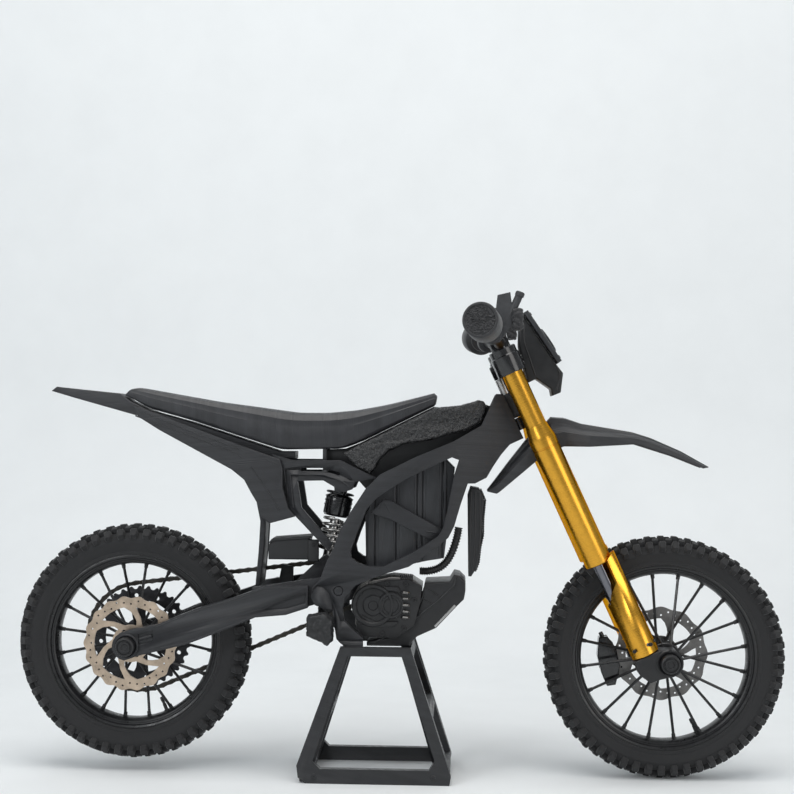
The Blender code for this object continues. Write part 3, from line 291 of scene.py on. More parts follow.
finishes = {
    "framePrint": printedPlastic("framePrint", (0.06, 0, 1), pitch=0.55, relief=0.12),
    "armPrint": printedPlastic("armPrint", (-0.27, 0, 0.96), pitch=0.6, relief=0.12),
    "standPrint": printedPlastic("standPrint", (0.3, 0.2, 1), (0.016, 0.0165, 0.0185), 0.8, 0.10, 0.44),
    "fenderPrint": printedPlastic("fenderPrint", (0.22, 0.35, 0.9), (0.020, 0.0205, 0.023), 0.7, 0.16, 0.48),
    "tailPrint": printedPlastic("tailPrint", (-0.10, 0, 1), (0.017, 0.0175, 0.020), 0.7, 0.12, 0.46),
    "smallPrint": printedPlastic("smallPrint", (0, 1, 0.1), (0.012, 0.0125, 0.014), 0.5, 0.10, 0.5),
    "seatPrint": printedPlastic("seatPrint", (1, 0, 0.05), (0.020, 0.0205, 0.0235), 1.1, 0.10, 0.44),
    "casePrint": printedPlastic("casePrint", (1, 0, -0.14), (0.024, 0.025, 0.028), 0.9, 0.08, 0.40),
    "coverBlack": smoothPaint("coverBlack", (0.009, 0.009, 0.010), 0.42),
    "glossBlack": smoothPaint("glossBlack", (0.006, 0.006, 0.007), 0.18, 0.02, Coat_Weight=0.4),
    "rimBlack": smoothPaint("rimBlack", (0.008, 0.008, 0.009), 0.32, 0.04),
    "tyreBlack": tyreRubber("tyreBlack", (0.0125, 0.0125, 0.0135), 0.74),
    "gripBlack": tyreRubber("gripBlack", (0.024, 0.024, 0.026), 0.60),
    "leverGrey": smoothPaint("leverGrey", (0.030, 0.031, 0.034), 0.5, 0.12),
    "roughCover": sparklingCover("roughCover"),
    "goldAnodised": turnedMetal("goldAnodised", (0.70, 0.36, 0.045), 0.27, forkDown, 0.06,
                                Specular_Tint=(0.62, 0.34, 0.16, 1)),
    "darkChrome": turnedMetal("darkChrome", (0.17, 0.17, 0.19), 0.14, forkDown, 0.05),
    "bronzeSteel": brushedMetal("bronzeSteel", (0.50, 0.40, 0.31), 0.34, 0.30, 0.05),
    "darkSteel": brushedMetal("darkSteel", (0.19, 0.185, 0.18), 0.40, 0.40, 0.10),
    "chainSteel": brushedMetal("chainSteel", (0.060, 0.056, 0.050), 0.42, 0.35, 0.05),
    "sprocketBlack": brushedMetal("sprocketBlack", (0.045, 0.045, 0.048), 0.44, 0.25, 0.04),
    "steel": brushedMetal("steel", (0.46, 0.45, 0.44), 0.28, 0.15),
}


# building blocks: each adds closed shells to a bmesh, in millimetres
def turnTo(start, end):
    # A matrix whose +Z runs from start to end, placed at start.
    direction = Vector(end) - Vector(start)
    return Matrix.Translation(Vector(start)) @ direction.to_track_quat("Z", "Y").to_matrix().to_4x4()


def addRings(shape, rings, closed=False, capped=True):
    # Skins equal rings of points; closed joins the last ring to the first.
    made = [[shape.verts.new(point) for point in ring] for ring in rings]
    count = len(rings[0])
    pairs = list(zip(made, made[1:])) + ([(made[-1], made[0])] if closed else [])
    for lower, upper in pairs:
        for i in range(count):
            j = (i + 1) % count
            shape.faces.new((lower[i], lower[j], upper[j], upper[i]))
    if capped and not closed:
        shape.faces.new(list(reversed(made[0])))
        shape.faces.new(made[-1])
    return made


def addTurned(shape, profile, start, end, segments=48):
    # Turns a closed profile (radius, height), both ends off the axis, into a ring-like solid.
    place = turnTo(start, end)
    rings = []
    for i in range(segments):
        turn = 2 * math.pi * i / segments
        rings.append([place @ Vector((r * math.cos(turn), r * math.sin(turn), h)) for r, h in profile])
    addRings(shape, rings, closed=True)


def addPost(shape, profile, start, end, segments=32):
    # Turns an open profile (radius, height) into a solid with flat ends.
    place = turnTo(start, end)
    rings = []
    for r, h in profile:
        turns = [2 * math.pi * i / segments for i in range(segments)]
        rings.append([place @ Vector((r * math.cos(t), r * math.sin(t), h)) for t in turns])
    addRings(shape, rings)


def addTube(shape, points, radius, sides=12, taper=None):
    # A round bar along a line of points; taper gives a factor for each point.
    points = [Vector(point) for point in points]
    rings = []
    across = None
    for i, point in enumerate(points):
        before, after = points[max(i - 1, 0)], points[min(i + 1, len(points) - 1)]
        direction = (after - before).normalized()
        if across is None:
            across = direction.orthogonal().normalized()
        across = (across - direction * across.dot(direction)).normalized()
        other = direction.cross(across)
        size = radius * (taper[i] if taper else 1)
        turns = [2 * math.pi * k / sides for k in range(sides)]
        rings.append([point + (across * math.cos(t) + other * math.sin(t)) * size for t in turns])
    addRings(shape, rings)


def flatMesh(outline, thickness, holes=(), bevel=0.0, steps=2):
    # A flat outline with holes, rounded by bevel along its edges, as a mesh lying in XY.
    curve = bpy.data.curves.new("outline", "CURVE")
    curve.dimensions = "2D"
    curve.fill_mode = "BOTH"
    curve.extrude = thickness / 2 - bevel
    curve.bevel_depth = bevel
    curve.bevel_resolution = steps
    curve.offset = -bevel
    for loop in (outline, *holes):
        spline = curve.splines.new("POLY")
        spline.points.add(len(loop) - 1)
        for point, (across, up) in zip(spline.points, loop):
            point.co = (across, up, 0, 1)
        spline.use_cyclic_u = True
    holder = bpy.data.objects.new("outline", curve)
    bpy.context.scene.collection.objects.link(holder)
    mesh = bpy.data.meshes.new_from_object(holder.evaluated_get(bpy.context.evaluated_depsgraph_get()))
    bpy.data.objects.remove(holder, do_unlink=True)
    bpy.data.curves.remove(curve)
    return mesh


def addMesh(shape, mesh, matrix):
    # Adds a mesh through a matrix and drops the loose copy.
    mesh.transform(matrix)
    extra = bmesh.new()
    extra.from_mesh(mesh)
    bmesh.ops.remove_doubles(extra, verts=extra.verts, dist=0.004)
    bmesh.ops.recalc_face_normals(extra, faces=extra.faces)
    extra.to_mesh(mesh)
    extra.free()
    shape.from_mesh(mesh)
    bpy.data.meshes.remove(mesh)


sideOn = Matrix.Rotation(math.pi / 2, 4, "X")


def addPlate(shape, outline, yLow, yHigh, holes=(), bevel=0.0, steps=2):
    # A side-view outline (x, z) from yLow to yHigh.
    mesh = flatMesh(outline, yHigh - yLow, holes, bevel, steps)
    addMesh(shape, mesh, Matrix.Translation((0, (yLow + yHigh) / 2, 0)) @ sideOn)


def addBlock(shape, low, high, bevel=0.3, turn=None):
    # A box between two corners with rounded edges, turned about its middle if asked.
    low, high = Vector(low), Vector(high)
    size = high - low
    made = bmesh.ops.create_cube(shape, size=1)
    corners = made["verts"]
    edges = list({edge for vert in corners for edge in vert.link_edges})
    bmesh.ops.scale(shape, vec=size, verts=corners)
    result = bmesh.ops.bevel(shape, geom=edges, offset=bevel, segments=2, profile=0.6, affect="EDGES")
    verts = list({vert for face in result["faces"] for vert in face.verts})
    linked = set(verts)
    for vert in verts:
        for edge in vert.link_edges:
            linked.add(edge.other_vert(vert))
    if turn:
        bmesh.ops.transform(shape, matrix=turn, verts=list(linked))
    bmesh.ops.translate(shape, vec=(low + high) / 2, verts=list(linked))


def addScrew(shape, place, direction, radius=1.8, height=1.6, sunk=0.6):
    # A socket screw's head: chamfered, with a hexagonal recess.
    direction = Vector(direction).normalized()
    start = Vector(place) - direction * sunk
    turning = turnTo(start, start + direction)
    top = height + sunk
    count = 24
    turns = [2 * math.pi * i / count for i in range(count)]
    rings = []
    for r, h in ((radius, 0), (radius, top - 0.25), (radius - 0.25, top)):
        rings.append([turning @ Vector((r * math.cos(t), r * math.sin(t), h)) for t in turns])
    for h in (top, top - 0.8 * height):
        ring = []
        for t in turns:
            corner = math.cos(math.pi / 6) / math.cos((t % (math.pi / 3)) - math.pi / 6)
            ring.append(turning @ Vector((0.5 * radius * corner * math.cos(t),
                                          0.5 * radius * corner * math.sin(t), h)))
        rings.append(ring)
    addRings(shape, rings)


def circle(centre, radius, count=24, turn=0.0):
    steps = [turn + 2 * math.pi * i / count for i in range(count)]
    return [(centre[0] + radius * math.cos(a), centre[1] + radius * math.sin(a)) for a in steps]


def nodeShape(node, bevel=0.5, steps=2, sharp=25):
    # The CAD node's own shape with its flat faces whole again and its sharp edges rounded.
    shape = bmesh.new()
    shape.from_mesh(frame["nodes"][node].data)
    bmesh.ops.scale(shape, vec=(1 / mm,) * 3, verts=shape.verts)
    bmesh.ops.remove_doubles(shape, verts=shape.verts, dist=0.002)
    bmesh.ops.dissolve_limit(shape, angle_limit=math.radians(1.0), verts=shape.verts, edges=shape.edges)
    if bevel:
        edges = [edge for edge in shape.edges if len(edge.link_faces) == 2
                 and edge.calc_face_angle() > math.radians(sharp)]
        bmesh.ops.bevel(shape, geom=edges, offset=bevel, segments=steps, profile=0.6, affect="EDGES",
                        clamp_overlap=True)
    return shape


standing = set()                # CAD nodes that a piece already stands for


def finishPiece(name, shape, finish, body, stands=(), sharp=32):
    # Turns the bmesh into a shown piece with its finish, body and slot.
    bmesh.ops.scale(shape, vec=(mm,) * 3, verts=shape.verts)
    bmesh.ops.recalc_face_normals(shape, faces=shape.faces)
    mesh = bpy.data.meshes.new(name)
    shape.to_mesh(mesh)
    shape.free()
    mesh.materials.append(finishes[finish])
    mesh.shade_smooth()
    mesh.set_sharp_from_angle(angle=math.radians(sharp))
    piece = bpy.data.objects.new(name, mesh)
    bpy.context.scene.collection.objects.link(piece)
    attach(piece, body)
    if stands:
        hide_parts(*stands)
        standing.update(stands)
    return piece


def polishNode(node, finish, bevel=0.5, steps=2):
    # Shows a CAD node with rounded edges and its finish.
    return finishPiece(node + "_shown", nodeShape(node, bevel, steps), finish, bodyOf[node], (node,))


def carve(piece, tool):
    # Cuts a closed bmesh (millimetres) out of a piece.
    bmesh.ops.scale(tool, vec=(mm,) * 3, verts=tool.verts)
    bmesh.ops.recalc_face_normals(tool, faces=tool.faces)
    mesh = bpy.data.meshes.new("cutter")
    tool.to_mesh(mesh)
    tool.free()
    cutter = bpy.data.objects.new("cutter", mesh)
    bpy.context.scene.collection.objects.link(cutter)
    change = piece.modifiers.new("cut", "BOOLEAN")
    change.object = cutter
    change.solver = "EXACT"
    shown = bpy.data.meshes.new_from_object(piece.evaluated_get(bpy.context.evaluated_depsgraph_get()))
    piece.modifiers.clear()
    old = piece.data
    piece.data = shown
    bpy.data.meshes.remove(old)
    bpy.data.objects.remove(cutter, do_unlink=True)
    bpy.data.meshes.remove(mesh)
    return piece


print("stage: finishes and helpers ready")

# wheels
tyres = {
    "front": dict(axle=frontAxle, knobs=55, knobHeight=4.4, blockShare=0.50),
    "rear": dict(axle=rearAxle, knobs=52, knobHeight=4.4, blockShare=0.52),
}


def wheelPoint(axle, radius, turn, y):
    return Vector((axle.x + radius * math.cos(turn), y, axle.z + radius * math.sin(turn)))


def addKnob(shape, axle, turn, wide, long, lean, tall, radius, y, skew=0.0):
    # One tread block: its foot in the tyre, its sides drawn in and its top corners cut.
    rings = []
    for rise, draw in ((-1.2, 1.06), (tall * 0.80, 0.98), (tall, 0.80)):
        ring = []
        for u, v in ((-1, -0.72), (-0.72, -1), (0.72, -1), (1, -0.72), (1, 0.72), (0.72, 1), (-0.72, 1),
                     (-1, 0.72)):
            across = v * wide / 2 * draw
            around = (u * long / 2 + skew * v * long / 2) * draw
            reach = radius + rise * math.cos(lean) - across * math.sin(lean)
            side = y + across * math.cos(lean) + rise * math.sin(lean)
            ring.append(wheelPoint(axle, reach, turn + around / radius, side))
        rings.append(ring)
    addRings(shape, rings)


def buildTyre(name, spec):
    axle, knobs, tall = spec["axle"], spec["knobs"], spec["knobHeight"]
    low, high = cadCorners(name + "_tyre")
    half = (high.y - low.y) / 2
    outer = (high.z - low.z) / 2
    bead = (cadCorners(name + "_rim")[1].z - cadCorners(name + "_rim")[0].z) / 2 + 0.3
    base = outer - tall                     # the carcass under the knobs
    halfProfile = [
        (bead, 0.64 * half), (bead + 0.7, 0.76 * half), (bead + 2.2, 0.79 * half), (bead + 3.0, 0.77 * half),
        (bead + 5.0, 0.83 * half), (bead + 9.0, 0.885 * half), (base - 7.0, 0.895 * half), (base - 4.0,
                0.84 * half),
        (base - 1.9, 0.70 * half), (base - 0.6, 0.46 * half), (base, 0.16 * half),
    ]
    profile = halfProfile + [(r, -y) for r, y in reversed(halfProfile)]
    shape = bmesh.new()
    addTurned(shape, profile, (axle.x, 0, axle.z), (axle.x, 1, axle.z), 120)
    step = 2 * math.pi / knobs
    long = base * step * spec["blockShare"]
    for i in range(knobs):
        turn = i * step
        stagger = step / 2
        for side in (-1, 1):
            # shoulder block, the longer one down the side
            addKnob(shape, axle, turn + (0.25 * step if side > 0 else 0), 6.4, long, side * math.radians(52),
                    3.4, base - 2.6, side * 0.79 * half)
            # the block between shoulder and crown
            addKnob(shape, axle, turn + stagger, 4.6, long * 0.92, side * math.radians(21), tall * 0.88,
                    base - 0.9, side * 0.44 * half, 0.18 * side)
        if i % 2:
            addKnob(shape, axle, turn, 3.4, long, 0, tall, base - 0.05, -2.2, 0.1)
            addKnob(shape, axle, turn, 3.4, long, 0, tall, base - 0.05, 2.2, -0.1)
        else:
            addKnob(shape, axle, turn, 6.4, long, 0, tall, base - 0.05, 0)
    finishPiece(name + "_tyre_knobbly", shape, "tyreBlack", name + "_wheel", (name + "_tyre",), sharp=38)


rims = {
    "front": dict(stemTurn=294.0, nippleLength=3.4),
    "rear": dict(stemTurn=294.5, nippleLength=3.4),
}


def buildRim(name, spec, axle, firstTurn):
    low, high = cadCorners(name + "_rim")
    bead = (high.z - low.z) / 2
    half = (high.y - low.y) / 2
    inner = bead - 6.0
    halfProfile = [
        (inner - 0.3, 0.10 * half), (inner, 0.42 * half), (inner + 0.5, 0.60 * half), (inner + 1.5,
                0.80 * half),
        (inner + 2.6, 0.86 * half), (inner + 3.0, 0.82 * half), (inner + 3.8, 0.84 * half), (inner + 4.4,
                0.95 * half),
        (bead - 0.4, 1.00 * half), (bead + 0.35, 0.98 * half), (bead + 0.35, 0.80 * half), (bead - 0.4,
                0.78 * half),
        (bead - 2.0, 0.5 * half),
    ]
    profile = halfProfile + [(r, -y) for r, y in reversed(halfProfile)]
    shape = bmesh.new()
    addTurned(shape, profile, (axle.x, 0, axle.z), (axle.x, 1, axle.z), 128)
    for i in range(20):
        turn = firstTurn + 2 * math.pi * i / 20
        y = 0.9 if i % 2 else -0.9
        start = wheelPoint(axle, inner + 0.5, turn, y)
        end = wheelPoint(axle, inner - 1, turn, y)
        length = spec["nippleLength"]
        addPost(shape, [(1.75, 0), (1.75, 1.0), (1.45, 1.3), (1.35, length), (1.1, length + 0.4)], start,
                end, 12)
    turn = math.radians(spec["stemTurn"])
    start, end = wheelPoint(axle, inner + 0.5, turn, 0), wheelPoint(axle, inner - 1, turn, 0.12)
    stem = [(2.0, 0), (2.0, 1.2), (1.3, 1.4), (1.3, 5.4), (1.05, 5.6), (1.05, 7.2), (1.35, 7.4),
            (1.35, 10.4), (0.9, 10.8)]
    addPost(shape, stem, start, end, 14)
    finishPiece(name + "_rim_drilled", shape, "rimBlack", name + "_wheel", (name + "_rim",))


hubs = {
    "front": dict(firstTurn=7.8, lean=16.0, flange=8.0, spoke=1.0),
    "rear": dict(firstTurn=10.6, lean=16.0, flange=8.0, spoke=1.0),
}


def buildHub(name, spec, axle):
    low, high = cadCorners(name + "_spokes")
    lowY, highY = low.y, high.y
    flange = spec["flange"]
    rimLow, rimHigh = cadCorners(name + "_rim")
    inner = (rimHigh.z - rimLow.z) / 2 - 6.0
    shape = bmesh.new()
    bore = 3.2
    hubProfile = [
        (bore, lowY), (5.4, lowY), (5.4, lowY + 0.4), (flange + 2.2, lowY + 0.5), (flange + 2.6, lowY + 0.9),
        (flange + 2.6, lowY + 2.0), (flange + 2.1, lowY + 2.4), (7.2, lowY + 3.0), (6.2, lowY + 5.0),
        (6.0, (lowY + highY) / 2), (6.2, highY - 5.0), (7.2, highY - 3.0), (flange + 2.1, highY - 2.4),
        (flange + 2.6, highY - 2.0), (flange + 2.6, highY - 0.9), (flange + 2.2, highY - 0.5), (5.4,
                highY - 0.4),
        (5.4, highY), (bore, highY),
    ]
    addTurned(shape, hubProfile, (axle.x, 0, axle.z), (axle.x, 1, axle.z), 48)
    lean = math.radians(spec["lean"])
    for i in range(20):
        turn = math.radians(spec["firstTurn"]) + 2 * math.pi * i / 20
        side = 1 if i % 2 else -1
        flangeY = highY - 1.5 if side > 0 else lowY + 1.5
        foot = wheelPoint(axle, flange, turn + side * lean, flangeY)
        tip = wheelPoint(axle, inner - 0.5, turn, side * 0.9)
        inside = wheelPoint(axle, flange - 0.6, turn + side * (lean + 0.1), flangeY - side * 1.6)
        elbow = wheelPoint(axle, flange + 0.1, turn + side * lean, flangeY + side * 0.2)
        addTube(shape, [inside, foot, elbow, elbow.lerp(tip, 0.1), tip], spec["spoke"], 10,
                [1, 1, 1.15, 1.0, 1.0])
    finishPiece(name + "_hub_laced", shape, "rimBlack", name + "_wheel", (name + "_spokes",))


for wheelName, axle in (("front", frontAxle), ("rear", rearAxle)):
    buildTyre(wheelName, tyres[wheelName])
    buildRim(wheelName, rims[wheelName], axle, math.radians(hubs[wheelName]["firstTurn"]))
    buildHub(wheelName, hubs[wheelName], axle)
print("stage: wheels")

# brake discs and rear sprocket
discs = {
    "front": dict(waves=12, waveDepth=0.75, ringWide=8.2, arms=6, armWide=5.0, hubRadius=12.5, holes=36,
                  swirl=0.35),
    "rear": dict(waves=18, waveDepth=0.80, ringWide=7.6, arms=6, armWide=4.6, hubRadius=13.0, holes=36,
                 swirl=0.55),
}


def windowOutline(centre, inner, outer, start, end, swirl, corner=0.16):
    # One opening between two arms of a disc, its arms swept by swirl radians.
    points = []
    steps = 7
    for i in range(steps + 1):
        share = i / steps
        points.append((outer, start + swirl + (end - start) * (corner * 0.35 + share * (1 - corner * 0.7))))
    for i in range(1, 4):
        share = 1 - i / 4
        points.append((inner + (outer - inner) * share, end + swirl * share))
    for i in range(steps + 1):
        share = 1 - i / steps
        points.append((inner, start + (end - start) * (corner * 0.7 + share * (1 - corner * 1.4))))
    for i in range(1, 4):
        share = i / 4
        points.append((inner + (outer - inner) * share, start + swirl * share))
    return [(centre.x + r * math.cos(a), centre.z + r * math.sin(a)) for r, a in points]


def buildDisc(name, spec, axle, finish):
    node = name + "_brake_disc"
    low, high = cadCorners(node)
    outer = (high.z - low.z) / 2
    centre = (axle.x, axle.z)
    steps = spec["waves"] * 10
    outline = []
    for i in range(steps):
        turn = 2 * math.pi * i / steps
        wave = 0.5 + 0.5 * math.cos(spec["waves"] * turn)
        reach = outer - spec["waveDepth"] * 2 * (1 - wave)
        outline.append((centre[0] + reach * math.cos(turn), centre[1] + reach * math.sin(turn)))
    ringInner = outer - spec["ringWide"]
    gap = spec["armWide"] / ((ringInner + spec["hubRadius"]) / 2)
    pitch = 2 * math.pi / spec["arms"]
    holes = [circle(centre, 5.9, 32)]
    for i in range(spec["arms"]):
        start = i * pitch + gap / 2
        holes.append(windowOutline(axle, spec["hubRadius"], ringInner, start, start + pitch - gap,
                                   spec["swirl"]))
    for i in range(spec["holes"]):
        turn = 2 * math.pi * i / spec["holes"]
        reach = ringInner + spec["ringWide"] * (0.27, 0.42, 0.57)[i % 3]
        spot = (centre[0] + reach * math.cos(turn), centre[1] + reach * math.sin(turn))
        holes.append(circle(spot, 0.72, 10))
    for i in range(spec["arms"]):
        turn = i * pitch
        spot = (centre[0] + 9.6 * math.cos(turn), centre[1] + 9.6 * math.sin(turn))
        holes.append(circle(spot, 1.2, 10))
    shape = bmesh.new()
    addPlate(shape, outline, low.y, high.y, holes)
    finishPiece(node + "_wavy", shape, finish, name + "_wheel", (node,))


buildDisc("front", discs["front"], frontAxle, "darkSteel")
buildDisc("rear", discs["rear"], rearAxle, "bronzeSteel")

sprocket = dict(teeth=35, pitch=6.35, root=1.35, tip=0.9, windows=6, windowInner=13.5, windowOuter=26.0,
                lightHoles=12)


def toothOutline(centre, teeth, pitch, root, tip):
    # Rounded tooth gaps and narrow tips round a sprocket.
    pitchRadius = pitch / (2 * math.sin(math.pi / teeth))
    points = []
    for i in range(teeth):
        for share, reach in ((-0.5, -root), (-0.38, -root * 0.92), (-0.27, -root * 0.55), (-0.16, tip * 0.4),
                             (-0.07, tip), (0.07, tip), (0.16, tip * 0.4), (0.27, -root * 0.55), (0.38,
                                     -root * 0.92)):
            turn = 2 * math.pi * (i + share) / teeth
            radius = pitchRadius + reach
            points.append((centre[0] + radius * math.cos(turn), centre[1] + radius * math.sin(turn)))
    return points


def buildRearSprocket(spec):
    low, high = cadCorners("rear_sprocket")
    centre = (rearAxle.x, rearAxle.z)
    outline = toothOutline(centre, spec["teeth"], spec["pitch"], spec["root"], spec["tip"])
    holes = [circle(centre, 5.9, 32)]
    step = 2 * math.pi / spec["windows"]
    for i in range(spec["windows"]):
        start = (i + 0.5) * step + 0.16
        holes.append(windowOutline(rearAxle, spec["windowInner"], spec["windowOuter"], start,
                                   start + step - 0.32, 0.0))
    for i in range(spec["lightHoles"]):
        turn = 2 * math.pi * (i + 0.25) / spec["lightHoles"]
        spot = (centre[0] + 29.6 * math.cos(turn), centre[1] + 29.6 * math.sin(turn))
        holes.append(circle(spot, 1.5, 12))
    shape = bmesh.new()
    addPlate(shape, outline, low.y, high.y, holes, 0.2, 1)
    for i in range(spec["windows"]):
        turn = i * step + 0.26
        spot = wheelPoint(rearAxle, 9.4, turn, high.y)
        addScrew(shape, spot, alongY, 1.3, 0.9)
    finishPiece("rear_sprocket_toothed", shape, "sprocketBlack", "rear_wheel", ("rear_sprocket",))


buildRearSprocket(sprocket)
print("stage: discs and sprocket")
# more building blocks for the detailed pieces
def smoothLine(points, steps=6):
    # Catmull-Rom points through a line.
    points = [Vector(point) for point in points]
    ends = [points[0] * 2 - points[1]] + points + [points[-1] * 2 - points[-2]]
    line = []
    for a, b, c, d in zip(ends, ends[1:], ends[2:], ends[3:]):
        for i in range(steps):
            t = i / steps
            line.append(0.5 * (2 * b + (c - a) * t + (2 * a - 5 * b + 4 * c - d) * t * t
                               + (3 * b - a - 3 * c + d) * t ** 3))
    return line + [points[-1]]


def between(knots, x):
    # Straight-line value between knots (x, value).
    if x <= knots[0][0]:
        return knots[0][1]
    for (x0, v0), (x1, v1) in zip(knots, knots[1:]):
        if x <= x1:
            return v0 + (v1 - v0) * (x - x0) / (x1 - x0)
    return knots[-1][1]


def strip(points, width):
    # The outline of a stripe along a flat line of points.
    points = [Vector(point) for point in points]
    left, right = [], []
    for i, point in enumerate(points):
        along = (points[min(i + 1, len(points) - 1)] - points[max(i - 1, 0)]).normalized()
        across = Vector((-along.y, along.x)) * width / 2
        left.append(tuple(point + across))
        right.append(tuple(point - across))
    return left + right[::-1]


def columnOf(outline, low, high):
    # The part of a convex outline between two X values.
    for limit, keep in ((low, 1), (high, -1)):
        kept = []
        for (x0, z0), (x1, z1) in zip(outline, outline[1:] + outline[:1]):
            inside, nextInside = keep * (x0 - limit) >= 0, keep * (x1 - limit) >= 0
            if inside:
                kept.append((x0, z0))
            if inside != nextInside:
                kept.append((limit, z0 + (z1 - z0) * (limit - x0) / (x1 - x0)))
        outline = kept
    return outline


def roughen(piece, voxel, grain, depth, only=None):
    # Remeshes a piece evenly and pushes its surface in and out by about depth millimetres.
    change = piece.modifiers.new("even", "REMESH")
    change.mode = "VOXEL"
    change.voxel_size = voxel * mm
    change.use_smooth_shade = True
    mesh = bpy.data.meshes.new_from_object(piece.evaluated_get(bpy.context.evaluated_depsgraph_get()))
    piece.modifiers.clear()
    shape = bmesh.new()
    shape.from_mesh(mesh)
    shape.normal_update()
    for vert in shape.verts:
        place = vert.co / mm
        if only and not only(place):
            continue
        rise = noise.noise(place / grain) + 0.5 * noise.noise(place * 2.3 / grain + Vector((7, 3, 1)))
        vert.co += vert.normal * rise * depth * mm
    shape.to_mesh(mesh)
    shape.free()
    old = piece.data
    finish = old.materials[0]
    piece.data = mesh
    mesh.materials.clear()
    mesh.materials.append(finish)
    bpy.data.meshes.remove(old)
    return piece


def axisPlace(down):
    # A matrix for plates square to the steering axis: X ahead, Y left, Z up the axis.
    turn = Matrix((forkAhead, alongY, -forkDown)).transposed().to_4x4()
    return Matrix.Translation(forkPoint(down, 0)) @ turn


def addAxisPlate(shape, outline, top, bottom, holes=(), bevel=0.3):
    mesh = flatMesh(outline, abs(bottom - top), holes, bevel)
    addMesh(shape, mesh, axisPlace((top + bottom) / 2))


# frame plates: grooves where the printed parts meet, and the braces' raised triangles
sideFrame = dict(outerFace=33.5, grooveDepth=0.9, grooveWide=0.8, braceFace=27.4, ribRadius=0.55)


def buildFrames(spec):
    outer = spec["outerFace"]
    ear = [(-19, -4), (-17.3, 0.4), (-14.8, 3.2), (-10.3, 2.5), (-6.2, -1.5), (-4.1, -7.9), (-3.4, -13.5)]
    foot = [(1.5, -20.4), (4.0, -20.3), (10.1, -23.8), (16.2, -27.6), (18, -28)]
    seam = [(-6, -33.8), (20, -33.8)]
    for name, side in sides:
        shape = nodeShape("frame_" + name, 1.1)
        piece = finishPiece("frame_plate_" + name, shape, "framePrint", "chassis", ("frame_" + name,))
        tool = bmesh.new()
        for line in (ear, foot, seam):
            addPlate(tool, fromPivot(strip(line, spec["grooveWide"])),
                     *sideSpan(side, outer - spec["grooveDepth"], outer + 2))
        carve(piece, tool)
        shape = nodeShape("frame_brace_" + name, 0.8)
        for triangle in ([(27.1, 56.2), (30.1, 60.3), (34.2, 53.3)],
                         [(59.6, 41.0), (66.6, 40.2), (63.6, 37.9)]):
            corners = [(pivot.x + x, side * spec["braceFace"], pivot.z + z) for x, z in triangle]
            addTube(shape, corners, spec["ribRadius"], 6)
        finishPiece("frame_brace_ribbed_" + name, shape, "framePrint", "chassis", ("frame_brace_" + name,))


buildFrames(sideFrame)

battery = dict(columns=((18.6, 23.6), (24.4, 38.2), (39.0, 52.6), (53.4, 56.4), (57.2, 70.0), (70.8, 73.4)),
               halfWidth=19.0, depth=1.6, bevel=0.7)


def buildBattery(spec):
    outline = [(18, 10), (60, 20), (72, 22), (79, 84), (71, 92), (49, 83), (27, 70), (17, 50)]
    shape = bmesh.new()
    inner = spec["halfWidth"] - spec["depth"]
    addPlate(shape, fromPivot(outline), -inner, inner, (), 0.6)
    for low, high in spec["columns"]:
        column = columnOf(outline, low, high)
        addPlate(shape, fromPivot(column), -spec["halfWidth"], spec["halfWidth"], (), spec["bevel"])
        for x in (low + 1.6, high - 1.6):
            if high - low > 6:
                top = [z for _, z in columnOf(outline, x - 0.3, x + 0.3)]
                for y in (-spec["halfWidth"], spec["halfWidth"]):
                    addTube(shape, [(pivot.x + x, y, pivot.z + min(top) + 1.5),
                                    (pivot.x + x, y, pivot.z + max(top) - 1.5)], 0.28, 6)
    finishPiece("battery_ribbed", shape, "casePrint", "chassis", ("battery_case",))


buildBattery(battery)

motorPlaces = dict(cover=(23.5, -10.5), gear=(35.9, -10.3), face=-22.0)


